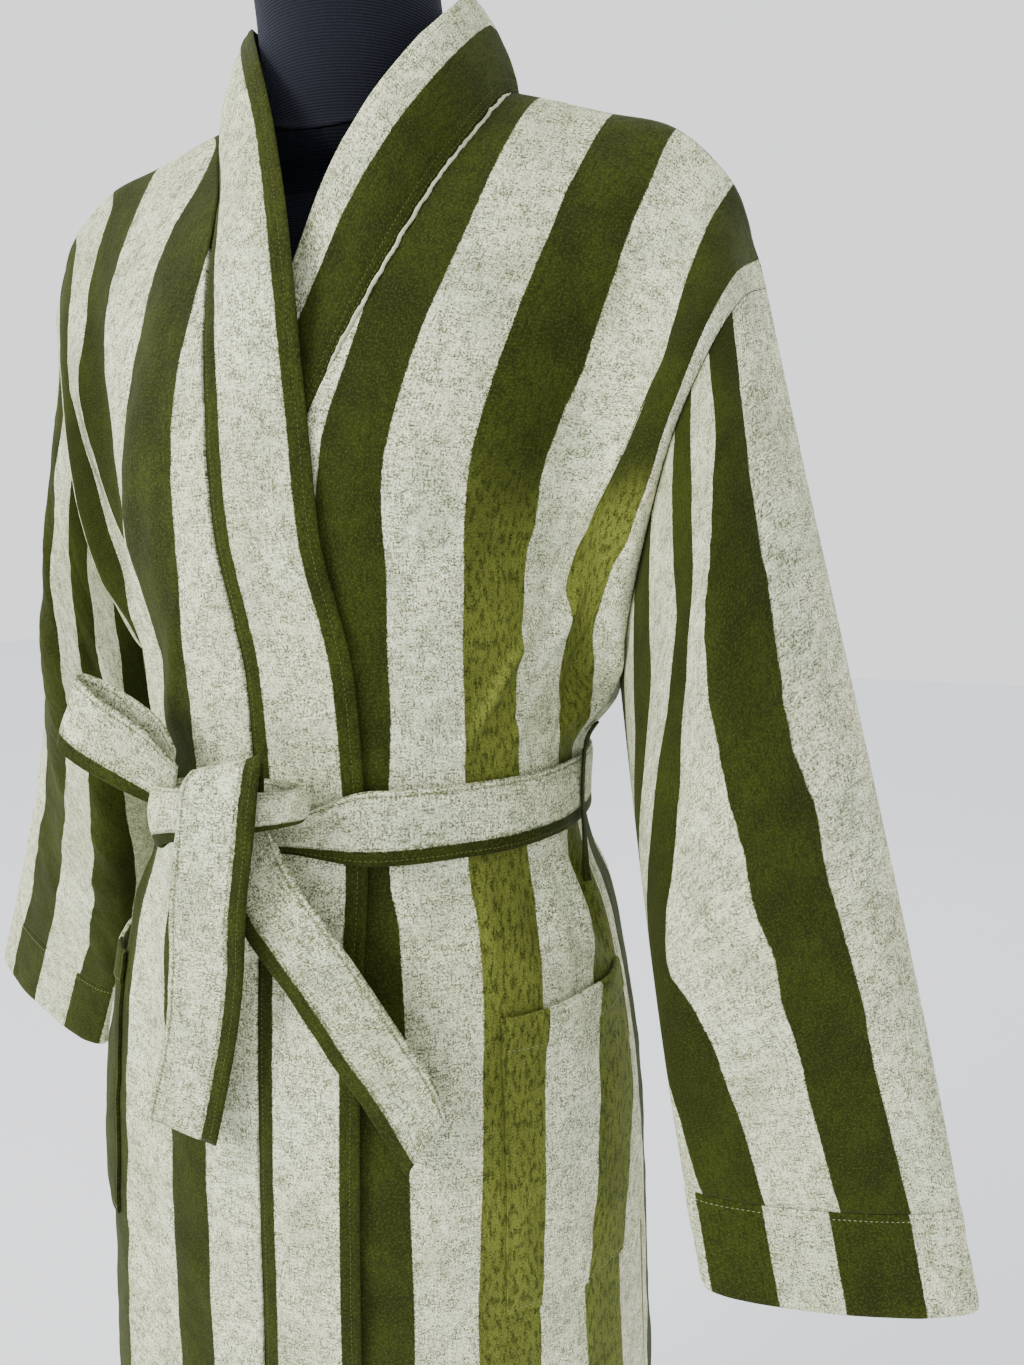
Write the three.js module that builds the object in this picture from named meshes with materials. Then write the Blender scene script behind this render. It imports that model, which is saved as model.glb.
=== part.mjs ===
// Kimono robe on a dress form.
// A long wrap robe of striped cotton velvet, tied with its own belt, on a limbless dress form
// that stands on a pole and a round base.
// Millimetres, +Z up. The wearer faces -Y and the wearer's left side is +X.
// The origin is the middle of the base's underside.

import * as THREE from "three";

// Driving dimensions of the robe.
const CLOTH = 2;
const DOUBLED_CLOTH = 3;
const SEAM_GAP = 0.3;
const HEM_Z = 250;
const CHEST_Z = 1156;
const UNDERARM_Z = 1062;
const RIDGE_Y = 8;
const HALF_PANEL = 318;
const HALF_NECK = 103;
const NECK_BACK_DEPTH = 58;
const NECK_BACK_DROP = 16;
const BAND_WIDTH = 66;
const BAND_KNEE = 162;
const ARMHOLE_REACH = 110;
const UNDERARM_PULL = 23;
const UNDERARM_PULL_END = 1018;
const SQUARENESS = 0.06;
const FRONT_FULLNESS = 0.66;
const BACK_FULLNESS = 0.6;
const BELT_Z = 995;
const BELT_WIDTH = 45;
const CUFF_DEPTH = 60;
const POCKET = { near: 172, far: 310, top: 878, bottom: 690, lift: 2.7 };

// Driving dimensions of the dress form.
const POLE_RADIUS = 16;
const BASE_RADIUS = 200;
const BASE_EDGE = 3;
const BASE_HEIGHT = 12;
const BOSS_RADIUS = 34;
const BOSS_HEIGHT = 40;
const SOCKET_RADIUS = 32;
const SOCKET_HEIGHT = 36;
const FORM_BOTTOM_Z = 704;

// The shoulder line, by distance from the centre line measured on the cloth.
const SHOULDER = [
  { across: 0, x: 0, left: 1452, right: 1452 },
  { across: 103, x: 103, left: 1430, right: 1430 },
  { across: 160, x: 159, left: 1413, right: 1413 },
  { across: 208, x: 202, left: 1399, right: 1400 },
  { across: 254, x: 236, left: 1365, right: 1372 },
  { across: 300, x: 252, left: 1322, right: 1332 },
  { across: 318, x: 257, left: 1306, right: 1316 },
];

// Level sections of the robe's outside, from the hem up to the chest.
const SECTIONS = [
  { z: 250, left: 208, right: 222, front: 160, back: 156 },
  { z: 450, left: 204, right: 217, front: 157, back: 152 },
  { z: 620, left: 198, right: 212, front: 154, back: 147 },
  { z: 770, left: 190, right: 205, front: 151, back: 142 },
  { z: 850, left: 179, right: 190, front: 147, back: 136 },
  { z: 910, left: 166, right: 171, front: 142, back: 126 },
  { z: 948, left: 152, right: 153, front: 137, back: 111 },
  { z: 973, left: 147, right: 147, front: 135, back: 105 },
  { z: 1017, left: 147, right: 147, front: 135, back: 105 },
  { z: 1040, left: 149, right: 149, front: 135, back: 109 },
  { z: 1080, left: 152, right: 152, front: 136, back: 113 },
  { z: 1156, left: 165, right: 163, front: 140, back: 119 },
];

// How far each front is drawn across the middle by the wrap.
const WRAP = [
  { z: 250, left: 32, right: 20 },
  { z: 770, left: 33, right: 20 },
  { z: 850, left: 36, right: 20 },
  { z: 995, left: 45, right: 20 },
  { z: 1080, left: 47, right: 17 },
  { z: 1156, left: 39, right: 12 },
];

// How far the upper front stands off the lower one where the two overlap.
const LAP = { lift: 5, near: 85, far: 130, top: 1400, fade: 70 };

// The seam between a front and its neckband, by distance from the centre line on the cloth.
const BAND_SEAM = [
  { z: 250, left: 31, right: 31 },
  { z: 1080, left: 31, right: 31 },
  { z: 1156, left: 43, right: 40 },
  { z: 1230, left: 58, right: 46 },
  { z: 1290, left: 75, right: 53 },
  { z: 1346, left: 88, right: 60 },
  { z: 1395, left: 99, right: 84 },
  { z: 1430, left: 103, right: 103 },
];

// The armhole seams from the shoulder (0) to the underarm (1).
const ARMHOLES = {
  left: [
    { along: 0, x: 257, front: 8, back: 8, z: 1306 },
    { along: 0.12, x: 248, front: -34, back: 48, z: 1293 },
    { along: 0.28, x: 234, front: -60, back: 78, z: 1262 },
    { along: 0.45, x: 217, front: -72, back: 92, z: 1216 },
    { along: 0.62, x: 203, front: -66, back: 90, z: 1165 },
    { along: 0.78, x: 190, front: -48, back: 72, z: 1115 },
    { along: 0.9, x: 181, front: -24, back: 44, z: 1080 },
    { along: 1, x: 174, front: 6, back: 6, z: 1062 },
  ],
  right: [
    { along: 0, x: 260, front: 8, back: 8, z: 1316 },
    { along: 0.12, x: 241, front: -12, back: 42, z: 1293 },
    { along: 0.28, x: 223, front: -32, back: 66, z: 1263 },
    { along: 0.45, x: 207, front: -48, back: 78, z: 1220 },
    { along: 0.62, x: 196, front: -50, back: 78, z: 1165 },
    { along: 0.78, x: 186, front: -38, back: 64, z: 1115 },
    { along: 0.9, x: 179, front: -20, back: 40, z: 1080 },
    { along: 1, x: 174, front: 6, back: 6, z: 1062 },
  ],
};

// Rows of every body panel: part of the drop from shoulder to chest, then level sections.
const DROPS = [0, 0.04, 0.12, 0.24, 0.38, 0.54, 0.7, 0.85, 1];
const DROP_TO_ARMHOLE = 0.68;
const LOWER_ROWS = [
  1125, 1093, UNDERARM_Z, 1036, 1016, 995, 974, 950, 918, 876, 822, 756, 676, 584, 480, 365, HEM_Z,
];

// The largest folds of the cloth. Across and slant follow the cloth, depth is outwards.
const FOLDS = [
  { panel: "front", side: 1, across: 236, slant: 0.1, top: 1330, bottom: 1130, width: 20, depth: 9 },
  { panel: "front", side: 1, across: 275, slant: 0.2, top: 1290, bottom: 1090, width: 16, depth: -9 },
  { panel: "front", side: 1, across: 226, slant: 0.55, top: 1170, bottom: 1014, width: 12, depth: 8 },
  { panel: "front", side: 1, across: 262, slant: 0.5, top: 1150, bottom: 1015, width: 12, depth: -9 },
  { panel: "front", side: 1, across: 292, slant: 0.3, top: 1120, bottom: 1034, width: 11, depth: 8 },
  { panel: "front", side: 1, across: 262, slant: -0.1, top: 982, bottom: 872, width: 11, depth: 8 },
  { panel: "front", side: 1, across: 288, slant: -0.1, top: 982, bottom: 872, width: 11, depth: -7 },
  { panel: "front", side: 1, across: 212, slant: -0.15, top: 980, bottom: 872, width: 12, depth: -5 },
  { panel: "front", side: -1, across: 120, slant: -0.25, top: 1290, bottom: 1080, width: 16, depth: 5 },
  { panel: "front", side: -1, across: 232, slant: 0.2, top: 1320, bottom: 1110, width: 18, depth: 9 },
  { panel: "front", side: -1, across: 272, slant: 0.2, top: 1280, bottom: 1080, width: 16, depth: -9 },
  { panel: "front", side: -1, across: 240, slant: 0.5, top: 1150, bottom: 1014, width: 13, depth: 8 },
  { panel: "front", side: -1, across: 282, slant: 0.4, top: 1130, bottom: 1014, width: 13, depth: -8 },
  { panel: "front", side: -1, across: 255, slant: -0.1, top: 982, bottom: 872, width: 12, depth: 8 },
  { panel: "front", side: -1, across: 225, slant: -0.1, top: 982, bottom: 872, width: 11, depth: -6 },
  { panel: "back", side: 0, across: 60, slant: 0.05, top: 1180, bottom: 1014, width: 20, depth: 8 },
  { panel: "back", side: 0, across: -70, slant: -0.08, top: 1190, bottom: 1014, width: 18, depth: 8 },
  { panel: "back", side: 0, across: 150, slant: 0.15, top: 1210, bottom: 1012, width: 22, depth: 9 },
  { panel: "back", side: 0, across: -160, slant: -0.12, top: 1200, bottom: 1012, width: 20, depth: 9 },
  { panel: "back", side: 0, across: 232, slant: 0.3, top: 1250, bottom: 1050, width: 22, depth: -8 },
  { panel: "back", side: 0, across: -236, slant: -0.3, top: 1240, bottom: 1050, width: 22, depth: -8 },
  { panel: "back", side: 0, across: 20, slant: 0, top: 980, bottom: 740, width: 18, depth: 7 },
  { panel: "back", side: 0, across: 105, slant: -0.1, top: 980, bottom: 700, width: 20, depth: 8 },
  { panel: "back", side: 0, across: -95, slant: 0.08, top: 980, bottom: 720, width: 18, depth: 8 },
  { panel: "back", side: 0, across: -180, slant: 0.1, top: 980, bottom: 680, width: 22, depth: 9 },
  { panel: "back", side: 0, across: 190, slant: -0.12, top: 980, bottom: 690, width: 20, depth: 9 },
];

// The free edge of each neckband where it leaves the chest and stands up round the neck.
// The rise is above the row's own height, and the roll is how far the band swells between its
// seam and this edge.
const COLLAR_EDGE = {
  left: [
    { z: 1156, x: -25, y: -139, rise: 0, roll: 0 },
    { z: 1195, x: -18, y: -137, rise: 2, roll: 0 },
    { z: 1230, x: -6, y: -129, rise: 10, roll: 1 },
    { z: 1290, x: 13, y: -96, rise: 54, roll: 3 },
    { z: 1346, x: 39, y: -83, rise: 52, roll: 5 },
    { z: 1395, x: 65, y: -60, rise: 46, roll: 6 },
    { z: 1430, x: 76, y: -6, rise: 56, roll: 5 },
  ],
  right: [
    { z: 1156, x: 41, y: -139, rise: 0, roll: 0 },
    { z: 1195, x: 32, y: -137, rise: 1, roll: 0 },
    { z: 1230, x: 26, y: -132, rise: 4, roll: 1 },
    { z: 1290, x: 14, y: -117, rise: 26, roll: 3 },
    { z: 1346, x: -10, y: -88, rise: 38, roll: 5 },
    { z: 1395, x: -38, y: -62, rise: 48, roll: 6 },
    { z: 1430, x: -76, y: -6, rise: 56, roll: 5 },
  ],
};
const COLLAR_BLEND = { start: 1170, end: 1290 };
const COLLAR_BACK = { x: 76, sideY: -6, y: 62, z: 1486, drop: 5, roll: 5 };
const NECK_STEPS = 5;

// Sleeves: the lower end of each, the way the cloth leaves the armhole at the shoulder and at the
// underarm, and how far each of these pulls carries.
const SLEEVES = {
  left: {
    side: 1,
    cuff: new THREE.Vector3(328, -74, 721),
    axis: new THREE.Vector3(0.22, -0.11, -0.969),
    inward: new THREE.Vector3(-0.978, -0.206, 0),
    halfWidth: 79,
    halfDepth: 17,
    shoulderLeave: new THREE.Vector3(0.242, -0.107, -0.965),
    underarmLeave: new THREE.Vector3(0.16, -0.15, -0.976),
    shoulderPull: 590,
    underarmPull: 300,
  },
  right: {
    side: -1,
    cuff: new THREE.Vector3(-336, 35, 753),
    axis: new THREE.Vector3(-0.38, 0.08, -0.922),
    inward: new THREE.Vector3(0.914, -0.312, -0.26),
    halfWidth: 79,
    halfDepth: 18,
    shoulderLeave: new THREE.Vector3(0.05, 0.04, -0.998),
    underarmLeave: new THREE.Vector3(-0.3, 0.04, -0.953),
    shoulderPull: 540,
    underarmPull: 280,
  },
};
const SLEEVE_ROWS = 12;
const CUFF_ROWS = 2;
const CUFF_EASE = 0.6;
const SLEEVE_BULGE = 0.3;
const SLEEVE_GAP = { shoulder: 1.3, underarm: 0.45 };

// The largest folds of the sleeves: where each lies along the sleeve and round it.
const SLEEVE_FOLDS = [
  { at: 0.3, length: 0.28, around: 0.36, width: 0.06, depth: -10 },
  { at: 0.36, length: 0.32, around: 0.24, width: 0.05, depth: 7 },
  { at: 0.62, length: 0.3, around: 0.31, width: 0.05, depth: -4 },
  { at: 0.28, length: 0.26, around: 0.66, width: 0.06, depth: -9 },
  { at: 0.5, length: 0.34, around: 0.78, width: 0.06, depth: 6 },
];

// The dress form's sections. Drop lowers the front of a section, as at the foot of the neck.
const FORM_SECTIONS = [
  { z: 704, half: 158, front: 100, back: 112, square: 0.05, y: 2, drop: 0, dropBack: 0 },
  { z: 716, half: 168, front: 110, back: 122, square: 0.05, y: 2, drop: 0, dropBack: 0 },
  { z: 770, half: 170, front: 113, back: 124, square: 0.05, y: 2, drop: 0, dropBack: 0 },
  { z: 850, half: 161, front: 110, back: 118, square: 0.05, y: 2, drop: 0, dropBack: 0 },
  { z: 930, half: 138, front: 103, back: 96, square: 0.04, y: 0, drop: 0, dropBack: 0 },
  { z: 1005, half: 118, front: 97, back: 82, square: 0.03, y: 0, drop: 0, dropBack: 0 },
  { z: 1080, half: 130, front: 108, back: 88, square: 0.04, y: 0, drop: 0, dropBack: 0 },
  { z: 1156, half: 146, front: 122, back: 98, square: 0.05, y: 0, drop: 0, dropBack: 0 },
  { z: 1225, half: 158, front: 110, back: 94, square: 0.03, y: 2, drop: 0, dropBack: 0 },
  { z: 1290, half: 178, front: 84, back: 84, square: 0, y: 4, drop: 0, dropBack: 0 },
  { z: 1345, half: 196, front: 62, back: 66, square: -0.06, y: 6, drop: 4, dropBack: 4 },
  { z: 1382, half: 202, front: 50, back: 52, square: -0.1, y: 8, drop: 14, dropBack: 14 },
  { z: 1397.4, half: 197, front: 48, back: 48, square: -0.14, y: 8, drop: 27, dropBack: 18 },
  { z: 1410.8, half: 157, front: 50, back: 44, square: -0.14, y: 8, drop: 29, dropBack: 15 },
  { z: 1427, half: 100, front: 56, back: 46, square: -0.14, y: 5, drop: 36, dropBack: 8 },
  { z: 1440, half: 61, front: 58, back: 54, square: 0, y: -1, drop: 41, dropBack: 4 },
];
const NECK_SECTIONS = [
  { z: 1440.4, half: 61, front: 58, back: 54, square: 0, y: -1, drop: 41, dropBack: 4 },
  { z: 1452, half: 60, front: 57, back: 53, square: 0, y: -5, drop: 28, dropBack: 3 },
  { z: 1480, half: 58, front: 56, back: 52, square: 0, y: -13, drop: 12, dropBack: 0 },
  { z: 1518, half: 57, front: 55, back: 52, square: 0, y: -24, drop: 6, dropBack: 0 },
  { z: 1536, half: 55, front: 53, back: 50, square: 0, y: -29, drop: 3, dropBack: 0 },
  { z: 1544, half: 46, front: 44, back: 41, square: 0, y: -31, drop: 1, dropBack: 0 },
];
const FORM_COLUMNS = 32;

// The tied belt: each run is a flat strap along a centre line, with the way its width points.
const STRAP_ROWS = 3;
const BOW_LOOP = [
  { x: -61, y: -161, z: 1025, widthX: 0.2, widthZ: 0.98, width: 32 },
  { x: -74, y: -166, z: 1034, widthX: 0.42, widthZ: 0.91, width: 40 },
  { x: -100, y: -168, z: 1048, widthX: 0.4, widthZ: 0.92, width: 45 },
  { x: -117, y: -165, z: 1057, widthX: 0.4, widthZ: 0.92, width: 46 },
  { x: -122, y: -159, z: 1060, widthX: 0.4, widthZ: 0.92, width: 46 },
  { x: -117, y: -154, z: 1058, widthX: 0.4, widthZ: 0.92, width: 46 },
  { x: -100, y: -153, z: 1051, widthX: 0.4, widthZ: 0.92, width: 44 },
  { x: -74, y: -152, z: 1040, widthX: 0.42, widthZ: 0.91, width: 38 },
  { x: -61, y: -154, z: 1029, widthX: 0.2, widthZ: 0.98, width: 30 },
];
const TAIL_FRONT = [
  { x: -14, y: -163, z: 1035.5, widthX: 1, widthZ: 0.1, width: 40 },
  { x: -14, y: -168, z: 1042, widthX: 1, widthZ: 0.1, width: 42 },
  { x: -15, y: -176, z: 1041, widthX: 1, widthZ: 0.1, width: 44 },
  { x: -16, y: -180, z: 1028, widthX: 1, widthZ: 0.05, width: 45 },
  { x: -18, y: -181, z: 1005, widthX: 1, widthZ: 0, width: 45 },
  { x: -24, y: -178, z: 960, widthX: 1, widthZ: 0, width: 45 },
  { x: -29, y: -173, z: 910, widthX: 1, widthZ: 0, width: 45 },
  { x: -36, y: -170, z: 860, widthX: 0.99, widthZ: 0.06, width: 45 },
  { x: -52, y: -169, z: 808, widthX: 0.98, widthZ: 0.02, width: 45 },
];
const TAIL_SIDE = [
  { x: -3, y: -163, z: 975, widthX: 0.86, widthZ: 0.5, width: 36 },
  { x: 16, y: -162, z: 950, widthX: 0.84, widthZ: 0.54, width: 42 },
  { x: 41, y: -160, z: 912, widthX: 0.84, widthZ: 0.54, width: 45 },
  { x: 66, y: -156, z: 874, widthX: 0.85, widthZ: 0.52, width: 45 },
  { x: 86, y: -151, z: 840, widthX: 0.86, widthZ: 0.5, width: 45 },
  { x: 94, y: -147, z: 808, widthX: 0.52, widthZ: 0.85, width: 50 },
];
const KNOT = [
  { x: -60, y: -157, z: 1012, depth: 7, height: 21 },
  { x: -56, y: -157, z: 1011, depth: 11, height: 26 },
  { x: -44, y: -158, z: 1010, depth: 13, height: 27 },
  { x: -25, y: -158, z: 1008, depth: 13, height: 25 },
  { x: 5, y: -158, z: 1006, depth: 13, height: 24 },
  { x: 26, y: -157, z: 1006, depth: 12, height: 22 },
  { x: 36, y: -155, z: 1005, depth: 8, height: 15 },
  { x: 38, y: -154, z: 1005, depth: 3, height: 6 },
];
const KNOT_COLUMNS = 18;
const BELT_LOOP = { across: 297, halfAcross: 4, thickness: 1.5, rest: 0.9 };
const BELT_LOOP_ROWS = [
  { z: 1040, lift: 0.3 },
  { z: 1032, lift: 0.5 },
  { z: 1024, lift: 1 },
  { z: 1008, lift: 1 },
  { z: 982, lift: 1 },
  { z: 965, lift: 1 },
  { z: 950, lift: 0.8 },
  { z: 940, lift: 0.5 },
  { z: 932, lift: 0.3 },
];

// Colours of the cloth and the form.
const PALE = 0xc4c7ba;
const OLIVE = 0x5b6420;
const FORM_BLACK = 0x16181f;
const STAND_GREY = 0x2b2d30;

// Small helpers.

function ease(amount) {
  const t = Math.min(1, Math.max(0, amount));
  return t * t * (3 - 2 * t);
}

function mix(a, b, t) {
  return a + (b - a) * t;
}

// A smooth curve through the rows of a table: the value of one column at a place given by another.
function read(table, key, value, at) {
  const last = table.length - 1;
  if (at <= table[0][key]) return table[0][value];
  if (at >= table[last][key]) return table[last][value];
  let i = 0;
  while (at > table[i + 1][key]) i += 1;
  const slopeAt = (k) => {
    const low = table[Math.max(0, k - 1)];
    const high = table[Math.min(last, k + 1)];
    return (high[value] - low[value]) / (high[key] - low[key]);
  };
  const step = table[i + 1][key] - table[i][key];
  const t = (at - table[i][key]) / step;
  const rise = table[i + 1][value] - table[i][value];
  const bend = (1 - t) * (slopeAt(i) * step - rise) - t * (slopeAt(i + 1) * step - rise);
  return table[i][value] + rise * t + t * (1 - t) * bend;
}

// A point of a level section: an ellipse with slightly filled corners, at a distance along it
// from its front or back middle. The two sine terms even out the steps along the curve.
function sectionPoint(half, depth, square, along) {
  const turn = along / (((half + depth) / 2) * (1 + square / 2));
  const angle = turn - ((half - depth) / (2 * (half + depth))) * Math.sin(2 * turn);
  const fill = 1 + square * Math.sin(2 * angle) ** 2;
  return { x: half * Math.sin(angle) * fill, y: depth * Math.cos(angle) * fill };
}

function sectionQuarter(half, depth, square) {
  return (Math.PI / 2) * ((half + depth) / 2) * (1 + square / 2);
}

// The robe's body.

const LEVELS = [
  ...DROPS.map((drop) => ({ drop, z: CHEST_Z, hole: drop * DROP_TO_ARMHOLE })),
  ...LOWER_ROWS.map((z) => ({
    drop: 1,
    z,
    hole: mix(DROP_TO_ARMHOLE, 1, (CHEST_Z - z) / (CHEST_Z - UNDERARM_Z)),
  })),
];
const UNDERARM_ROW = LEVELS.findIndex((level) => level.z === UNDERARM_Z);

// The height of a row at the neck side of a panel.
function levelZ(level) {
  return level.drop < 1 ? mix(SHOULDER[1].left, CHEST_Z, level.drop) : level.z;
}

function hand(side) {
  return side > 0 ? "left" : "right";
}

function bandSeam(side, level) {
  return read(BAND_SEAM, "z", hand(side), levelZ(level));
}

// Where cloth at a distance across a panel lies round the level section.
function alongSection(panel, side, across, z) {
  const half = read(SECTIONS, "z", hand(side), z);
  const depth = read(SECTIONS, "z", panel, z);
  const quarter = sectionQuarter(half, depth, SQUARENESS);
  if (panel === "back") return (across * quarter) / HALF_PANEL;
  const wrap = read(WRAP, "z", hand(side), z);
  if (across <= BAND_KNEE) return across - wrap;
  const knee = BAND_KNEE - wrap;
  return mix(knee, quarter, (across - BAND_KNEE) / (HALF_PANEL - BAND_KNEE));
}

function ringPoint(panel, side, along, z) {
  const half = read(SECTIONS, "z", hand(side), z);
  const depth = read(SECTIONS, "z", panel, z);
  const flat = sectionPoint(half, depth, SQUARENESS, along);
  const facing = panel === "back" ? 1 : -1;
  const ridge = RIDGE_Y * ease(Math.abs(flat.x) / half);
  return new THREE.Vector3(side * flat.x, ridge + facing * flat.y, z);
}

// The shoulder line and, between its neck points, the back of the neckline.
function ridgePoint(panel, side, across) {
  const z = read(SHOULDER, "across", hand(side), across);
  if (panel === "back" && across < HALF_NECK) {
    const round = Math.sqrt(1 - (across / HALF_NECK) ** 2);
    return new THREE.Vector3(
      side * across,
      RIDGE_Y + NECK_BACK_DEPTH * round,
      SHOULDER[1].left - NECK_BACK_DROP * round,
    );
  }
  const x = Math.min(across, read(SHOULDER, "across", "x", across));
  return new THREE.Vector3(side * x, RIDGE_Y, z);
}

// Cloth that drops from the shoulder to the chest, then follows the level sections.
function hangingPoint(panel, side, across, level) {
  const point = ringPoint(panel, side, alongSection(panel, side, across, level.z), level.z);
  if (level.drop === 1) return point;
  const top = ridgePoint(panel, side, across);
  const fullness = panel === "back" ? BACK_FULLNESS : FRONT_FULLNESS;
  const forward = Math.sin((Math.PI / 2) * level.drop) ** fullness;
  return new THREE.Vector3(
    mix(top.x, point.x, level.drop),
    mix(top.y, point.y, forward),
    mix(top.z, CHEST_Z, level.drop),
  );
}

// The outer edge of a body panel: the armhole seam, then the side seam.
function edgePoint(panel, side, level) {
  if (level.hole <= 1) {
    const armhole = ARMHOLES[hand(side)];
    return new THREE.Vector3(
      side * read(armhole, "along", "x", level.hole),
      read(armhole, "along", panel, level.hole),
      read(armhole, "along", "z", level.hole),
    );
  }
  const point = hangingPoint(panel, side, HALF_PANEL, level);
  const left = (level.z - UNDERARM_PULL_END) / (UNDERARM_Z - UNDERARM_PULL_END);
  point.x += side * UNDERARM_PULL * ease(left);
  return point;
}

function foldDepth(panel, side, across, z) {
  let depth = 0;
  for (const fold of FOLDS) {
    if (fold.panel !== panel) continue;
    if (fold.side !== 0 && fold.side !== side) continue;
    const place = panel === "back" ? side * across : across;
    const middle = (fold.top + fold.bottom) / 2;
    const run = (z - middle) / ((fold.top - fold.bottom) / 2);
    if (Math.abs(run) >= 1) continue;
    const off = (place - fold.across - fold.slant * (z - middle)) / fold.width;
    depth += fold.depth * Math.exp(-off * off) * (1 - run * run) ** 2;
  }
  return depth;
}

function lapLift(panel, side, across, z) {
  if (panel === "back" || side > 0) return 0;
  return LAP.lift * ease((LAP.far - across) / (LAP.far - LAP.near)) * ease((LAP.top - z) / LAP.fade);
}

function outward(point) {
  return new THREE.Vector3(point.x / 1.2, point.y, 0).normalize();
}

function bodyPoint(panel, side, across, level) {
  const point = hangingPoint(panel, side, across, level);
  const reach = ease((across - (HALF_PANEL - ARMHOLE_REACH)) / ARMHOLE_REACH);
  if (reach > 0) {
    const pull = edgePoint(panel, side, level).sub(hangingPoint(panel, side, HALF_PANEL, level));
    point.addScaledVector(pull, reach);
  }
  const off = foldDepth(panel, side, across, point.z) + lapLift(panel, side, across, point.z);
  return point.addScaledVector(outward(point), off);
}

// Walls made from a grid of points on their outer face.

function gridNormals(grid, around) {
  const rows = grid.length;
  const columns = grid[0].length;
  return grid.map((row, i) =>
    row.map((point, j) => {
      const up = grid[Math.min(rows - 1, i + 1)][j].clone().sub(grid[Math.max(0, i - 1)][j]);
      const next = around ? row[(j + 1) % columns] : row[Math.min(columns - 1, j + 1)];
      const last = around ? row[(j + columns - 1) % columns] : row[Math.max(0, j - 1)];
      return next.clone().sub(last).cross(up).normalize();
    }),
  );
}

// A closed wall: the grid is its outer face, and the inner face lies a thickness behind it.
// Flatten may turn the normals along an edge, so that two walls part along a straight seam.
function wall(grid, thickness, { around = false, flatten = null } = {}) {
  const rows = grid.length;
  const columns = grid[0].length;
  const normals = gridNormals(grid, around);
  if (flatten) flatten(normals);
  const positions = [];
  const push = (point) => positions.push(point.x, point.y, point.z);
  grid.forEach((row) => row.forEach(push));
  grid.forEach((row, i) =>
    row.forEach((point, j) => push(point.clone().addScaledVector(normals[i][j], -thickness))),
  );
  const outer = (i, j) => i * columns + (j % columns);
  const inner = (i, j) => rows * columns + outer(i, j);
  const faces = [];
  const quad = (a, b, c, d) => faces.push(a, b, c, a, c, d);
  const spans = around ? columns : columns - 1;
  for (let i = 0; i < rows - 1; i += 1) {
    for (let j = 0; j < spans; j += 1) {
      quad(outer(i, j), outer(i, j + 1), outer(i + 1, j + 1), outer(i + 1, j));
      quad(inner(i, j), inner(i + 1, j), inner(i + 1, j + 1), inner(i, j + 1));
    }
  }
  for (let j = 0; j < spans; j += 1) {
    quad(outer(0, j), inner(0, j), inner(0, j + 1), outer(0, j + 1));
    quad(outer(rows - 1, j), outer(rows - 1, j + 1), inner(rows - 1, j + 1), inner(rows - 1, j));
  }
  if (!around) {
    for (let i = 0; i < rows - 1; i += 1) {
      quad(outer(i, 0), outer(i + 1, 0), inner(i + 1, 0), inner(i, 0));
      quad(outer(i, spans), inner(i, spans), inner(i + 1, spans), outer(i + 1, spans));
    }
  }
  return solid(positions, faces);
}

function solid(positions, faces) {
  const geometry = new THREE.BufferGeometry();
  geometry.setAttribute("position", new THREE.Float32BufferAttribute(positions, 3));
  geometry.setIndex(faces);
  geometry.computeVertexNormals();
  return geometry;
}

// A solid closed body through rings of points, with a fan over each end.
function stack(rings) {
  const columns = rings[0].length;
  const positions = rings.flat().flatMap((point) => [point.x, point.y, point.z]);
  const faces = [];
  for (let i = 0; i < rings.length - 1; i += 1) {
    for (let j = 0; j < columns; j += 1) {
      const a = i * columns + j;
      const b = i * columns + ((j + 1) % columns);
      faces.push(a, b, b + columns, a, b + columns, a + columns);
    }
  }
  [0, rings.length - 1].forEach((end) => {
    const middle = rings[end].reduce((sum, point) => sum.add(point), new THREE.Vector3());
    middle.divideScalar(columns);
    const hub = positions.length / 3;
    positions.push(middle.x, middle.y, middle.z);
    for (let j = 0; j < columns; j += 1) {
      const a = end * columns + j;
      const b = end * columns + ((j + 1) % columns);
      if (end === 0) faces.push(hub, b, a);
      else faces.push(hub, a, b);
    }
  });
  return solid(positions, faces);
}

// Panels of the robe.

const FRONT_COLUMNS = 18;
const BACK_OUTER_COLUMNS = 9;

// Where a front and the back meet, on the shoulder line and down the side seam, both walls are
// offset the same way, straight away from the seam.
function levelSeams(normals) {
  const flatten = (normal) => normal.setY(0).normalize();
  normals[0].forEach(flatten);
  normals.slice(UNDERARM_ROW).forEach((row) => {
    [row[0], row[row.length - 1]].filter((normal) => Math.abs(normal.x) > 0.7).forEach(flatten);
  });
}

function frontGrid(side) {
  const grid = LEVELS.map((level) => {
    const near = bandSeam(side, level) + SEAM_GAP / 2;
    const far = HALF_PANEL - (level.hole > 1 ? SEAM_GAP / 2 : 0);
    return Array.from({ length: FRONT_COLUMNS + 1 }, (_, j) =>
      bodyPoint("front", side, mix(near, far, j / FRONT_COLUMNS), level),
    );
  });
  grid[0].forEach((point) => point.setY(point.y - SEAM_GAP / 2));
  return side > 0 ? grid.map((row) => [...row].reverse()) : grid;
}

function neckAcross(step) {
  return HALF_NECK * Math.sin((Math.PI / 2) * (step / NECK_STEPS));
}

// Places across one half of the back, from the centre line to the side seam.
const BACK_ACROSS = [
  ...Array.from({ length: NECK_STEPS }, (_, step) => neckAcross(step)),
  ...Array.from({ length: BACK_OUTER_COLUMNS + 1 }, (_, j) =>
    mix(HALF_NECK, HALF_PANEL, j / BACK_OUTER_COLUMNS),
  ),
];

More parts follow.
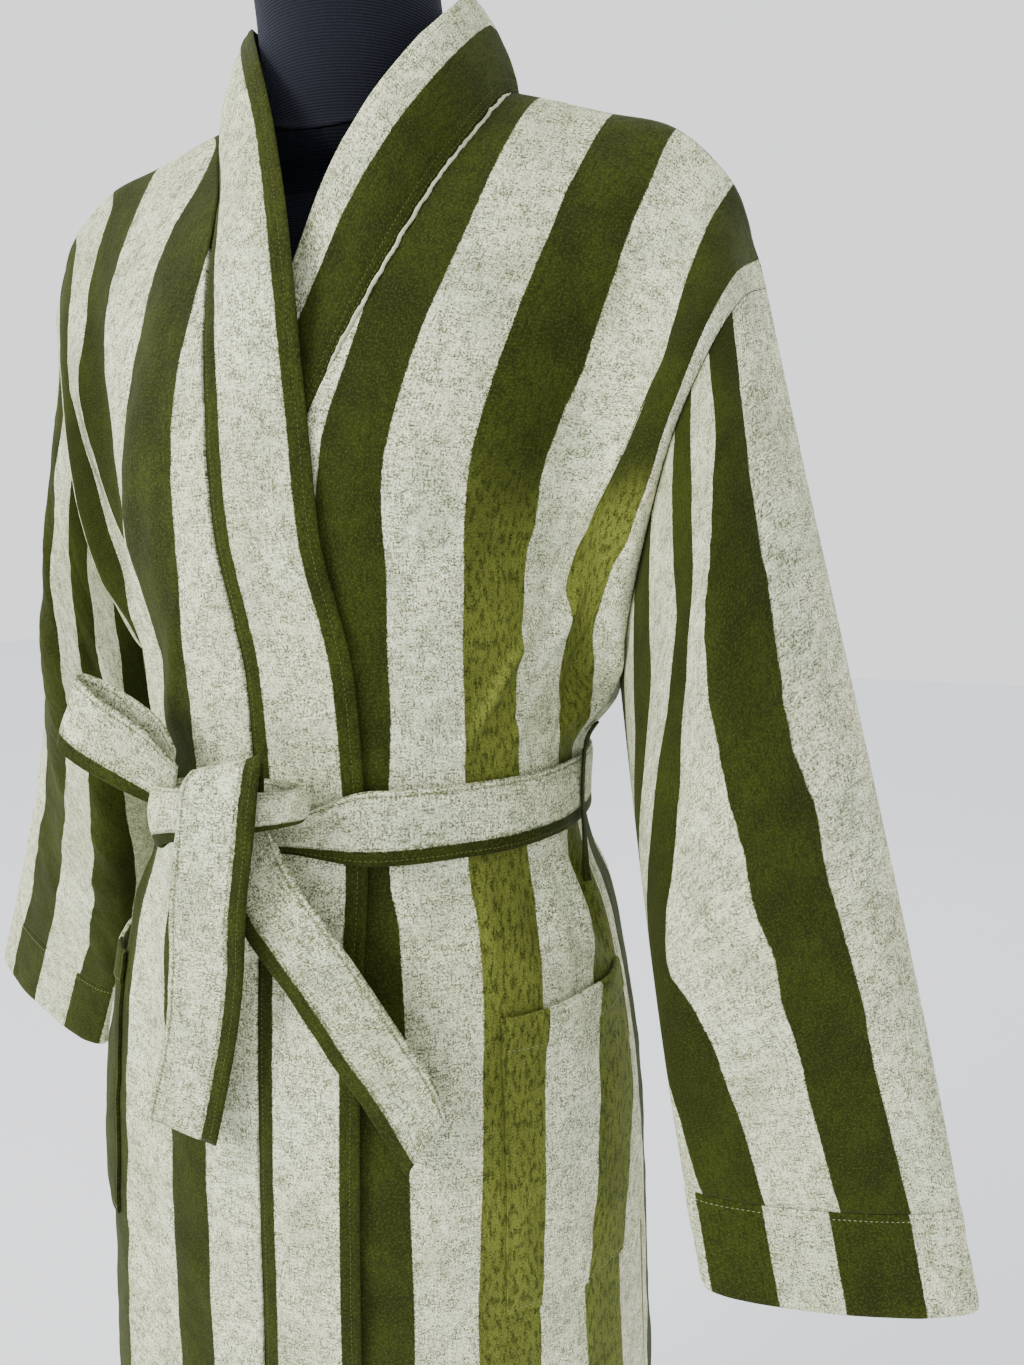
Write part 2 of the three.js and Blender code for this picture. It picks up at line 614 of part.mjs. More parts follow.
function backGrid() {
  return LEVELS.map((level, i) => {
    const half = (side) =>
      BACK_ACROSS.map((across) => {
        const seam = across === HALF_PANEL && level.hole > 1 ? SEAM_GAP / 2 : 0;
        const point = bodyPoint("back", side, across - seam, level);
        if (i === 0) point.y += SEAM_GAP / 2;
        return point;
      });
    return [...half(-1).reverse().slice(0, -1), ...half(1)];
  });
}

// The neckband: flat on the section of the body below, and a standing collar round the neck above.
const BAND_COLUMNS = 4;

function bandLowPoint(side, fraction, level) {
  const seam = bandSeam(side, level) - SEAM_GAP / 2;
  return bodyPoint("front", side, seam - BAND_WIDTH * fraction, level);
}

function collarPoint(side, fraction, level) {
  const z = levelZ(level);
  const seam = bodyPoint("front", side, bandSeam(side, level) - SEAM_GAP / 2, level);
  const free = COLLAR_EDGE[hand(side)];
  const edge = new THREE.Vector3(
    read(free, "z", "x", z),
    read(free, "z", "y", z),
    z + read(free, "z", "rise", z),
  );
  const roll = read(free, "z", "roll", z) * 4 * fraction * (1 - fraction);
  const point = seam.lerp(edge, fraction);
  const away = new THREE.Vector3(side * 0.6, -0.8, 0.1).normalize();
  point.y -= lapLift("front", side, 0, z) * fraction;
  return point.addScaledVector(away, roll);
}

function bandPoint(side, fraction, level) {
  const z = levelZ(level);
  const upper = ease((z - COLLAR_BLEND.start) / (COLLAR_BLEND.end - COLLAR_BLEND.start));
  return bandLowPoint(side, fraction, level).lerp(collarPoint(side, fraction, level), upper);
}

// The collar behind the neck, from the neck point (NECK_STEPS) to the centre back (0).
function collarBackPoint(side, fraction, step) {
  const seam = ridgePoint("back", side, neckAcross(step));
  seam.y -= SEAM_GAP / 2;
  const round = Math.cos((Math.PI / 2) * (step / NECK_STEPS));
  const edge = new THREE.Vector3(
    side * COLLAR_BACK.x * Math.sin((Math.PI / 2) * (step / NECK_STEPS)),
    mix(COLLAR_BACK.sideY, COLLAR_BACK.y, round),
    COLLAR_BACK.z - COLLAR_BACK.drop * round,
  );
  const away = new THREE.Vector3(side * 0.8 * (1 - round), 0.9 * round, 0).normalize();
  const roll = COLLAR_BACK.roll * 4 * fraction * (1 - fraction);
  return seam.lerp(edge, fraction).addScaledVector(away, roll);
}

function neckbandGrid(side) {
  const fractions = Array.from({ length: BAND_COLUMNS + 1 }, (_, j) => j / BAND_COLUMNS);
  const grid = [];
  for (let step = 0; step < NECK_STEPS; step += 1) {
    grid.push(
      fractions.map((fraction) => {
        const point = collarBackPoint(side, fraction, step);
        if (step === 0) point.x = (side * SEAM_GAP) / 2;
        return point;
      }),
    );
  }
  for (const level of LEVELS) {
    grid.push(fractions.map((fraction) => bandPoint(side, fraction, level)));
  }
  return side > 0 ? grid : grid.map((row) => [...row].reverse());
}

function neckbandWall(side) {
  const squareEnd = (normals) =>
    normals[0].forEach((normal) => {
      normal.x = 0;
      normal.normalize();
    });
  return wall(neckbandGrid(side), DOUBLED_CLOTH, { flatten: squareEnd });
}

// Sleeves and cuffs.

function armholeRing(side) {
  const front = LEVELS.slice(0, UNDERARM_ROW + 1).map((level) => edgePoint("front", side, level));
  const back = LEVELS.slice(1, UNDERARM_ROW).map((level) => edgePoint("back", side, level));
  return [...front, ...back.reverse()];
}

// A turn from 0 at the outer fold of a sleeve, over its front, to half at the underarm.
function sleeveTurns(side) {
  return armholeRing(side).map((_, j) => j / (2 * UNDERARM_ROW));
}

// The level way across a sleeve's front face, pointing forwards.
function sleeveFront(sleeve) {
  const forward = new THREE.Vector3(0, 0, 1).cross(sleeve.inward).normalize();
  return forward.y > 0 ? forward.negate() : forward;
}

function cuffPoint(sleeve, turn, down, spread) {
  const angle = 2 * Math.PI * turn;
  const flat = -Math.cos(angle);
  const deep = Math.sin(angle);
  return sleeve.cuff
    .clone()
    .addScaledVector(sleeve.axis, down)
    .addScaledVector(sleeve.inward, (sleeve.halfWidth + spread) * flat)
    .addScaledVector(
      sleeveFront(sleeve),
      (sleeve.halfDepth + spread) * Math.sign(deep) * Math.abs(deep) ** 0.8,
    );
}

function sleeveFold(turn, along) {
  return SLEEVE_FOLDS.reduce((sum, fold) => {
    const run = (along - fold.at) / fold.length;
    if (Math.abs(run) >= 1) return sum;
    const off = (turn - fold.around) / fold.width;
    return sum + fold.depth * Math.exp(-off * off) * (1 - run * run) ** 2;
  }, 0);
}

// A point of a sleeve: along runs from the armhole (0) to the cuff (1).
function sleevePoint(sleeve, start, turn, along) {
  const under = (1 - Math.cos(2 * Math.PI * turn)) / 2;
  const sideways = Math.sin(2 * Math.PI * turn);
  const leave = sleeve.shoulderLeave.clone().lerp(sleeve.underarmLeave, under);
  leave.y -= SLEEVE_BULGE * sideways;
  leave.normalize();
  const end = cuffPoint(sleeve, turn, -CUFF_DEPTH - SEAM_GAP, 0);
  const gap = mix(SLEEVE_GAP.shoulder, SLEEVE_GAP.underarm, under);
  const first = start.clone().addScaledVector(leave, gap);
  const pull = mix(sleeve.shoulderPull, sleeve.underarmPull, under);
  const rest = 1 - along;
  return first
    .multiplyScalar((1 + 2 * along) * rest * rest)
    .addScaledVector(leave, pull * along * rest * rest)
    .addScaledVector(end, along * along * (3 - 2 * along))
    .addScaledVector(sleeve.axis, -pull * along * along * rest)
    .addScaledVector(sleeveFront(sleeve), sleeveFold(turn, along) * Math.sign(sideways));
}

// Rings of points run against the clock when seen along the sleeve, so the right sleeve's turn
// the other way.
function sleeveRing(sleeve, row) {
  return sleeve.side > 0 ? row : [row[0], ...row.slice(1).reverse()];
}

function sleeveGrid(sleeve) {
  const ring = armholeRing(sleeve.side);
  const turns = sleeveTurns(sleeve.side);
  return Array.from({ length: SLEEVE_ROWS + 1 }, (_, i) => {
    const along = (i / SLEEVE_ROWS) ** 1.15;
    return sleeveRing(sleeve, ring.map((start, j) => sleevePoint(sleeve, start, turns[j], along)));
  });
}

function cuffGrid(sleeve) {
  const turns = sleeveTurns(sleeve.side);
  return Array.from({ length: CUFF_ROWS + 1 }, (_, i) => {
    const down = mix(-CUFF_DEPTH, 0, i / CUFF_ROWS);
    return sleeveRing(sleeve, turns.map((turn) => cuffPoint(sleeve, turn, down, CUFF_EASE)));
  });
}

// Pockets lie on the fronts, made from the fronts' own points moved out.
const POCKET_COLUMNS = 7;
const POCKET_ROWS = 6;

function pocketGrid(side) {
  const grid = [];
  for (let i = 0; i <= POCKET_ROWS; i += 1) {
    const z = mix(POCKET.top, POCKET.bottom, i / POCKET_ROWS);
    const row = Array.from({ length: POCKET_COLUMNS + 1 }, (_, j) => {
      const across = mix(POCKET.near, POCKET.far, j / POCKET_COLUMNS);
      const level = { drop: 1, z, hole: 2 };
      const point = bodyPoint("front", side, across, level);
      return point.addScaledVector(outward(point), POCKET.lift);
    });
    grid.push(side > 0 ? row.reverse() : row);
  }
  return grid;
}

// The belt's run round the waist, over both fronts and the back.
const BELT_COLUMNS = 44;
const BELT_EASE = 1.9;
const BELT_OVER_LAP = { right: -125, left: 105, run: 42 };

function beltPoint(part, z) {
  const quarterTurn = Math.floor(part * 4);
  const panel = quarterTurn === 0 || quarterTurn === 3 ? "front" : "back";
  const side = quarterTurn < 2 ? 1 : -1;
  const inQuarter = part * 4 - quarterTurn;
  const fromMiddle = (panel === "front") === side > 0 ? inQuarter : 1 - inQuarter;
  const half = read(SECTIONS, "z", hand(side), BELT_Z);
  const depth = read(SECTIONS, "z", panel, BELT_Z);
  const quarter = sectionQuarter(half, depth, SQUARENESS);
  const point = ringPoint(panel, side, fromMiddle * quarter, BELT_Z);
  const { right, left, run } = BELT_OVER_LAP;
  const over = ease((point.x - right) / run) * ease((left - point.x) / run);
  const lift = panel === "front" ? LAP.lift * over : 0;
  return point.addScaledVector(outward(point), DOUBLED_CLOTH + BELT_EASE + lift).setZ(z);
}

function beltGrid() {
  return [0.5, 0, -0.5].map((share) => {
    const row = [];
    for (let j = 0; j < BELT_COLUMNS; j += 1) {
      row.push(beltPoint(j / BELT_COLUMNS, BELT_Z + BELT_WIDTH * share));
    }
    return row.reverse();
  });
}

// A flat strap along a table of places.
function strapWall(table, thickness) {
  const middle = table.map((row) => new THREE.Vector3(row.x, row.y, row.z));
  const grid = table.map((row, i) => {
    const width = new THREE.Vector3(row.widthX, 0, row.widthZ).normalize();
    return Array.from({ length: STRAP_ROWS }, (_, j) =>
      middle[i].clone().addScaledVector(width, row.width * (j / (STRAP_ROWS - 1) - 0.5)),
    );
  });
  return wall(grid, thickness);
}

// A narrow loop of cloth at each side seam that holds the belt at the waist.
function beltLoopGrid(side) {
  return BELT_LOOP_ROWS.map(({ z, lift }) => {
    const row = [-1, 0, 1].map((place) => {
      const across = BELT_LOOP.across + BELT_LOOP.halfAcross * place;
      const point = bodyPoint("front", side, across, { drop: 1, z, hole: 2 });
      const overBelt = (DOUBLED_CLOTH + BELT_EASE - BELT_LOOP.rest / 2) * lift;
      return point.addScaledVector(outward(point), BELT_LOOP.thickness + BELT_LOOP.rest + overBelt);
    });
    return side > 0 ? row.reverse() : row;
  });
}

function knotSolid() {
  const rings = KNOT.map((row) =>
    Array.from({ length: KNOT_COLUMNS }, (_, j) => {
      const angle = (2 * Math.PI * j) / KNOT_COLUMNS;
      return new THREE.Vector3(
        row.x,
        row.y + row.depth * Math.cos(angle),
        row.z + row.height * Math.sin(angle),
      );
    }),
  );
  return stack(rings);
}

// The dress form.

function formRings(sections) {
  return sections.map((row) =>
    Array.from({ length: FORM_COLUMNS }, (_, j) => {
      const angle = (2 * Math.PI * j) / FORM_COLUMNS;
      const fill = 1 + row.square * Math.sin(2 * angle) ** 2;
      const depth = Math.cos(angle) > 0 ? row.front : row.back;
      const x = row.half * Math.sin(angle) * fill;
      const y = -depth * Math.cos(angle) * fill;
      const drop = Math.cos(angle) > 0 ? row.drop : row.dropBack;
      return new THREE.Vector3(x, row.y + y, row.z - drop * Math.abs(Math.cos(angle)));
    }),
  );
}

// A round solid from a profile of radius and height.
function turned(profile) {
  const points = profile.map(([radius, z]) => new THREE.Vector2(radius, z));
  const geometry = new THREE.LatheGeometry(points, 40);
  geometry.rotateX(Math.PI / 2);
  return geometry;
}

// The pole with the socket plate under the form, and the round base with the boss it stands in.
const POLE_PROFILE = [
  [0, BOSS_HEIGHT + SEAM_GAP],
  [POLE_RADIUS, BOSS_HEIGHT + SEAM_GAP],
  [POLE_RADIUS, FORM_BOTTOM_Z - SOCKET_HEIGHT],
  [SOCKET_RADIUS, FORM_BOTTOM_Z - SOCKET_HEIGHT / 3],
  [SOCKET_RADIUS, FORM_BOTTOM_Z - SEAM_GAP],
  [0, FORM_BOTTOM_Z - SEAM_GAP],
];
const BASE_PROFILE = [
  [0, 0],
  [BASE_RADIUS - BASE_EDGE, 0],
  [BASE_RADIUS, BASE_EDGE],
  [BASE_RADIUS - BASE_EDGE, BASE_HEIGHT - BASE_EDGE],
  [BOSS_RADIUS, BASE_HEIGHT],
  [BOSS_RADIUS * 0.75, BOSS_HEIGHT],
  [0, BOSS_HEIGHT],
];

// Materials.

function finish(color, roughness, metalness) {
  return new THREE.MeshStandardMaterial({ color, roughness, metalness });
}

const velvet = (colour) => finish(colour, 0.9, 0);
const formCloth = () => finish(FORM_BLACK, 0.95, 0);
const paintedSteel = () => finish(STAND_GREY, 0.5, 0.3);

// The whole object.

const robe = new THREE.Group();
const dressForm = new THREE.Group();

function add(group, name, geometry, material) {
  const mesh = new THREE.Mesh(geometry, material);
  mesh.name = name;
  group.add(mesh);
}

add(robe, "back", wall(backGrid(), CLOTH, { flatten: levelSeams }), velvet(PALE));
for (const [name, side] of [["left", 1], ["right", -1]]) {
  const sleeve = SLEEVES[name];
  add(robe, `front_${name}`, wall(frontGrid(side), CLOTH, { flatten: levelSeams }), velvet(PALE));
  add(robe, `neckband_${name}`, neckbandWall(side), velvet(OLIVE));
  add(robe, `sleeve_${name}`, wall(sleeveGrid(sleeve), CLOTH, { around: true }), velvet(PALE));
  add(robe, `cuff_${name}`, wall(cuffGrid(sleeve), DOUBLED_CLOTH, { around: true }), velvet(OLIVE));
  add(robe, `pocket_${name}`, wall(pocketGrid(side), CLOTH), velvet(OLIVE));
  add(robe, `belt_loop_${name}`, wall(beltLoopGrid(side), BELT_LOOP.thickness), velvet(OLIVE));
}
add(robe, "belt_waist", wall(beltGrid(), DOUBLED_CLOTH, { around: true }), velvet(PALE));
add(robe, "belt_knot", knotSolid(), velvet(PALE));
add(robe, "bow_loop", strapWall(BOW_LOOP, DOUBLED_CLOTH), velvet(PALE));
add(robe, "tail_front", strapWall(TAIL_FRONT, DOUBLED_CLOTH), velvet(PALE));
add(robe, "tail_side", strapWall(TAIL_SIDE, DOUBLED_CLOTH), velvet(PALE));

add(dressForm, "form_torso", stack(formRings(FORM_SECTIONS)), formCloth());
add(dressForm, "form_neck", stack(formRings(NECK_SECTIONS)), formCloth());
add(dressForm, "form_pole", turned(POLE_PROFILE), paintedSteel());
add(dressForm, "form_base", turned(BASE_PROFILE), paintedSteel());

const whole = new THREE.Group();
whole.add(robe, dressForm);

export default whole;
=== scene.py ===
# %% [markdown]
# # A striped velvet robe on a dress form
# The real object is a long wrap robe sewn from cotton velvet with wide olive and pale stripes.
# It is worn by a limbless dress form and tied with its own belt.
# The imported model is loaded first, because every surface below has to lie where its solid lies.
# All measures of the robe are in millimetres, and they become metres when a mesh is made.

# %% Load the frame
import math

import bpy
import numpy as np
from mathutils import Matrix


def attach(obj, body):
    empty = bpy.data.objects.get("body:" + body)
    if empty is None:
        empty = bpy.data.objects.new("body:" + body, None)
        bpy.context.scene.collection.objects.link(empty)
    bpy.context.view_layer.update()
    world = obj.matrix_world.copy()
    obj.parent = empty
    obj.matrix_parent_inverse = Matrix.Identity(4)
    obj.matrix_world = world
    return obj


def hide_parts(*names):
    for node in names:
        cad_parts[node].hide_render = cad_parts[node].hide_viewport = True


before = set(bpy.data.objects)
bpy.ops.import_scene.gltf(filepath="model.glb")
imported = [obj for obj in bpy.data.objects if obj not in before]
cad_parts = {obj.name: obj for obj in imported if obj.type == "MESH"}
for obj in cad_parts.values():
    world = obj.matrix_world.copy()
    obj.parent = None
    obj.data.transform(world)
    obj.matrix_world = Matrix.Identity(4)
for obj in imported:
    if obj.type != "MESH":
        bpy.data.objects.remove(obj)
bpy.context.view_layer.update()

# %% [markdown]
# ## Camera, light and floor
# A photographer would stand close to the robe at chest height and look slightly down.
# The camera gets the same place and the same angle of view, so that the picture has the same
# perspective. The floor and the air round it are pale, and the light comes from a large window to
# one side with a weak fill, because velvet shows its nap best in soft light from the side.

# %% Camera
camera = bpy.data.objects.new("camera", bpy.data.cameras.new("camera"))
bpy.context.collection.objects.link(camera)
camera.location = (0.3118, -0.6386, 1.1745)
CAMERA_DOWN, CAMERA_TURN = 9.48, 18.24
camera.rotation_euler = (math.radians(90 - CAMERA_DOWN), 0, math.radians(CAMERA_TURN))
camera.data.sensor_width = 36
camera.data.lens = 26.8
bpy.context.scene.camera = camera
print("camera at", tuple(round(v, 3) for v in camera.location))

# %% Floor
FLOOR_HALF = 7.0


def make_object(name, vertices, *face_sets):
    """A mesh object at the origin, from points in metres and arrays of faces with equal sides."""
    mesh = bpy.data.meshes.new(name)
    mesh.vertices.add(len(vertices))
    mesh.vertices.foreach_set("co", np.asarray(vertices, np.float32).ravel())
    sides = np.concatenate([np.full(len(faces), faces.shape[1]) for faces in face_sets])
    mesh.loops.add(int(sides.sum()))
    mesh.loops.foreach_set("vertex_index", np.concatenate([f.ravel() for f in face_sets]).astype(np.int32))
    mesh.polygons.add(len(sides))
    starts = np.concatenate([[0], np.cumsum(sides)[:-1]])
    mesh.polygons.foreach_set("loop_start", starts.astype(np.int32))
    mesh.update(calc_edges=True)
    made = bpy.data.objects.new(name, mesh)
    bpy.context.collection.objects.link(made)
    return made


corners = np.array([[-1, -1, 0], [1, -1, 0], [1, 1, 0], [-1, 1, 0]]) * FLOOR_HALF
floor = make_object("floor", corners, np.array([[0, 1, 2, 3]]))
print("floor", 2 * FLOOR_HALF, "m wide")

# %% Air and lamps
AIR_COLOUR, AIR_STRENGTH = (0.84, 0.85, 0.88, 1), 1.75

world = bpy.data.worlds.new("studio")
bpy.context.scene.world = world
world.use_nodes = True
air = world.node_tree.nodes["Background"].inputs
air["Color"].default_value, air["Strength"].default_value = AIR_COLOUR, AIR_STRENGTH


def area_light(name, place, aim, size, power, colour):
    """A square lamp at a place, turned so that it shines towards another place."""
    lamp = bpy.data.objects.new(name, bpy.data.lights.new(name, "AREA"))
    bpy.context.collection.objects.link(lamp)
    lamp.data.shape = "SQUARE"
    lamp.data.size, lamp.data.energy, lamp.data.color = size, power, colour
    lamp.location = place
    away = np.array(place) - np.array(aim)
    lamp.rotation_euler = (
        math.atan2(math.hypot(away[0], away[1]), away[2]),
        0,
        math.atan2(away[0], -away[1]),
    )
    return lamp


area_light("window", (-1.9, -2.3, 2.3), (0, 0, 1.1), 1.3, 125, (1.0, 1.0, 0.97))
area_light("fill", (2.6, -1.4, 1.9), (0, 0, 1.0), 2.2, 5, (0.93, 0.97, 1.0))
area_light("rear", (0.6, 2.6, 2.2), (0, 0, 1.1), 2.2, 10, (1, 1, 1))
print("lamps: window, fill and rear")

# %% [markdown]
# ## Smooth tables
# A pattern cutter describes a body by a few level measures and lets the cloth run smoothly
# between them. A table holds such rows, and a cubic curve goes through them: its slope at a row is
# that of the straight line between the two neighbouring rows.

# %% Easing


def ease(amount):
    """0 below 0, 1 above 1, and t * t * (3 - 2 * t) between."""
    t = np.clip(amount, 0, 1)
    return t * t * (3 - 2 * t)


def mix(a, b, t):
    """A value between a and b: a + (b - a) * t."""
    return a + (b - a) * t


print("eased:", ease(np.array([0.1, 0.5, 0.9])).round(3))

# %% Tables


class Table:
    """Rows of named columns, sorted by the first one, and smooth curves through them."""

    def __init__(self, columns, *rows):
        self.columns = columns.split()
        self.rows = np.array(sorted(rows), float)

    def read(self, name, at):
        """The named column at some values of the first one, as a cubic between two rows."""
        key, value = self.rows[:, 0], self.rows[:, self.columns.index(name)]
        number = np.arange(len(key))
        before, after = np.maximum(number - 1, 0), np.minimum(number + 1, len(key) - 1)
        slope = (value[after] - value[before]) / (key[after] - key[before])
        at = np.clip(at, key[0], key[-1])
        i = np.clip(np.searchsorted(key, at, side="right") - 1, 0, len(key) - 2)
        step, rise = key[i + 1] - key[i], value[i + 1] - value[i]
        t = (at - key[i]) / step
        bend = (1 - t) * (slope[i] * step - rise) - t * (slope[i + 1] * step - rise)
        return value[i] + rise * t + t * (1 - t) * bend


SHOULDER = Table(
    "across x left right",
    (0, 0, 1452, 1452), (103, 103, 1430, 1430), (160, 159, 1413, 1413), (208, 202, 1399, 1400),
    (254, 236, 1365, 1372), (300, 252, 1322, 1332), (318, 257, 1306, 1316),
)
print("shoulder tip at", float(SHOULDER.read("x", 318)), float(SHOULDER.read("left", 318)))

# %% Places and distances


def hand(side):
    """The wearer's left is side 1, the wearer's right is side -1."""
    return "left" if side > 0 else "right"


def points(x, y, z):
    """An array of places from arrays of their coordinates."""
    return np.stack(np.broadcast_arrays(x, y, z), -1).astype(float)


def unit(vectors):
    """Each vector divided by its length."""
    return vectors / np.maximum(np.linalg.norm(vectors, axis=-1, keepdims=True), 1e-9)


def eased_steps(count):
    """Shares from 0 to 1 that lie closer at both ends: half of 1 less the cosine of equal angles."""
    return (1 - np.cos(np.linspace(0, math.pi, count + 1))) / 2


def ring_turns(around, rows):
    """Equal shares of a turn along every row of a piece that goes all round."""
    return np.linspace(0, 1, around, endpoint=False)[None, :] + np.zeros((rows + 1, 1))


def run_along(line):
    """The distance of each place on a line from its first one."""
    return np.concatenate([[0], np.cumsum(np.linalg.norm(np.diff(line, axis=0), axis=-1))])


def bell(distance, width):
    """1 at no distance, falling away as e to the power of minus the square of distance / width."""
    return np.exp(-((distance / width) ** 2))


print("steps of a short row:", eased_steps(4).round(3))

# %% [markdown]
# ## The body of the robe
# A real robe is cut flat and hangs from the shoulder line. Its surface is worked out the same way.
# A place on a panel is given by its distance across the cloth from the centre line and by its
# level. Down to the chest a point moves from the shoulder line to the chest section, and below the
# chest it lies on level sections, which are ellipses with slightly filled corners.
# Near the armhole the cloth is drawn to the armhole seam, and folds push it in and out.

# %% Measures of the body
HEM_Z, CHEST_Z, UNDERARM_Z = 250, 1156, 1062
RIDGE_Y, NECK_Z, HALF_PANEL, HALF_NECK = 8, 1430, 318, 103
NECK_BACK_DEPTH, NECK_BACK_DROP = 58, 16
SEAM_GAP, CLOTH, DOUBLED_CLOTH = 0.3, 2.0, 3.0
BAND_WIDTH, BAND_KNEE = 66, 162
ARMHOLE_REACH, UNDERARM_PULL, UNDERARM_PULL_END = 110, 23, 1018
SQUARENESS, DROP_TO_ARMHOLE = 0.06, 0.68
FULLNESS = {"front": 0.66, "back": 0.6}

SECTIONS = Table(
    "z left right front back",
    (250, 208, 222, 160, 156), (450, 204, 217, 157, 152), (620, 198, 212, 154, 147),
    (770, 190, 205, 151, 142), (850, 179, 190, 147, 136), (910, 166, 171, 142, 126),
    (948, 152, 153, 137, 111), (973, 147, 147, 135, 105), (1017, 147, 147, 135, 105),
    (1040, 149, 149, 135, 109), (1080, 152, 152, 136, 113), (1156, 165, 163, 140, 119),
)
WRAP = Table(
    "z left right",
    (250, 32, 20), (770, 33, 20), (850, 36, 20), (995, 45, 20), (1080, 47, 17), (1156, 39, 12),
)
BAND_SEAM = Table(
    "z left right",
    (250, 31, 31), (1080, 31, 31), (1156, 43, 40), (1230, 58, 46), (1290, 75, 53),
    (1346, 88, 60), (1395, 99, 84), (1430, 103, 103),
)
ARMHOLES = {
    "left": Table(
        "along x front back z",
        (0, 257, 8, 8, 1306), (0.12, 248, -34, 48, 1293), (0.28, 234, -60, 78, 1262),
        (0.45, 217, -72, 92, 1216), (0.62, 203, -66, 90, 1165), (0.78, 190, -48, 72, 1115),
        (0.9, 181, -24, 44, 1080), (1, 174, 6, 6, 1062),
    ),
    "right": Table(
        "along x front back z",
        (0, 260, 8, 8, 1316), (0.12, 241, -12, 42, 1293), (0.28, 223, -32, 66, 1263),
        (0.45, 207, -48, 78, 1220), (0.62, 196, -50, 78, 1165), (0.78, 186, -38, 64, 1115),
        (0.9, 179, -20, 40, 1080), (1, 174, 6, 6, 1062),
    ),
}
print("half the chest section:", float(SECTIONS.read("left", CHEST_Z)))

# %% Folds
# Each fold is a ridge (depth above 0) or a valley, a bell curve across it and a soft hump along it.
# A row holds its place across the cloth, slant, top, bottom, width and depth.
FOLDS = {
    ("front", 1): [
        (236, 0.1, 1330, 1130, 20, 9), (275, 0.2, 1290, 1090, 16, -9),
        (226, 0.55, 1170, 1014, 12, 8), (262, 0.5, 1150, 1015, 12, -9),
        (292, 0.3, 1120, 1034, 11, 8), (262, -0.1, 982, 872, 11, 8),
        (288, -0.1, 982, 872, 11, -7), (212, -0.15, 980, 872, 12, -5),
    ],
    ("front", -1): [
        (120, -0.25, 1290, 1080, 16, 5), (232, 0.2, 1320, 1110, 18, 9),
        (272, 0.2, 1280, 1080, 16, -9), (240, 0.5, 1150, 1014, 13, 8),
        (282, 0.4, 1130, 1014, 13, -8), (255, -0.1, 982, 872, 12, 8),
        (225, -0.1, 982, 872, 11, -6),
    ],
    ("back", 0): [
        (60, 0.05, 1180, 1014, 20, 8), (-70, -0.08, 1190, 1014, 18, 8),
        (150, 0.15, 1210, 1012, 22, 9), (-160, -0.12, 1200, 1012, 20, 9),
        (232, 0.3, 1250, 1050, 22, -8), (-236, -0.3, 1240, 1050, 22, -8),
        (20, 0, 980, 740, 18, 7), (105, -0.1, 980, 700, 20, 8),
        (-95, 0.08, 980, 720, 18, 8), (-180, 0.1, 980, 680, 22, 9),
        (190, -0.12, 980, 690, 20, 9),
    ],
}
print("folds:", sum(len(rows) for rows in FOLDS.values()))

# %% Creases
# Creases are the same but finer, pressed into the cloth by the belt, the underarm and the wearer.
CREASES = {
    ("front", 1): [
        (196, 0.75, 1150, 1030, 6, 4.4), (214, 0.8, 1120, 1024, 5.5, -4.2), (176, 0.7, 1110, 1020, 6, 3.4),
        (246, 0.3, 1290, 1140, 8, 5), (244, 0.3, 1090, 1014, 5, 4.2), (278, 0.25, 1110, 1016, 5, -4),
        (234, 0.5, 1180, 1060, 7, -4), (150, 0.35, 1200, 1090, 7, 1.8),
        (108, -0.2, 1080, 1018, 5, 1.2), (128, -0.25, 974, 900, 5, 1.6),
        (170, -0.1, 974, 890, 6, 1.8), (236, -0.05, 976, 880, 6, 2.2), (88, 0.2, 974, 900, 5, -1.2),
        (150, 0.1, 640, 420, 16, 3.4), (230, -0.08, 700, 380, 18, 4), (70, 0.05, 620, 330, 15, 2.6),
        (290, 0.06, 680, 400, 15, -3.4), (110, -0.06, 520, 290, 14, -2.6),
    ],
    ("front", -1): [
        (90, -0.3, 1130, 1020, 8, 3.2), (116, -0.3, 1120, 1018, 7, -2.6), (150, 0.2, 1110, 1020, 7, 2.6),
        (186, 0.35, 1120, 1020, 6, -2.2), (206, 0.45, 1140, 1030, 5, 2), (70, -0.1, 976, 830, 9, -2.6),
        (98, 0.05, 976, 760, 14, 4.4), (140, 0.02, 960, 700, 14, -3.6), (176, -0.05, 976, 860, 8, 2.8),
        (96, 0.02, 640, 400, 16, 3), (160, 0.05, 680, 380, 18, 3.6), (230, 0, 700, 400, 18, -3.4),
        (280, 0.05, 640, 330, 16, 3.2),
    ],
    ("back", 0): [
        (30, 0.2, 1300, 1180, 10, 1.8), (-40, -0.3, 1290, 1170, 10, 1.6), (120, 0.5, 1230, 1110, 9, -2.4),
        (-125, -0.5, 1240, 1110, 9, -2.4), (190, 0.5, 1200, 1060, 9, 2.4), (-200, -0.5, 1200, 1060, 9, 2.4),
        (0, 0, 1100, 1016, 8, -2.6), (90, 0.1, 1090, 1016, 7, -2.8), (-110, -0.1, 1090, 1016, 7, -2.8),
        (60, -0.05, 976, 860, 9, -3.4), (-45, 0.05, 976, 850, 9, -3.2), (145, -0.1, 976, 850, 9, -3.4),
        (-140, 0.1, 976, 850, 9, -3.4), (230, -0.15, 976, 840, 9, 3), (-235, 0.15, 976, 840, 9, 3),
        (60, 0.05, 640, 380, 20, 4), (-60, -0.05, 680, 380, 20, -3.6), (150, -0.04, 640, 330, 20, -4),
        (-170, 0.06, 660, 340, 20, 4), (250, 0, 620, 330, 20, 3.6), (-250, 0, 640, 350, 20, -3.4),
    ],
}
print("creases:", sum(len(rows) for rows in CREASES.values()))

# %% The height of folds and ripples


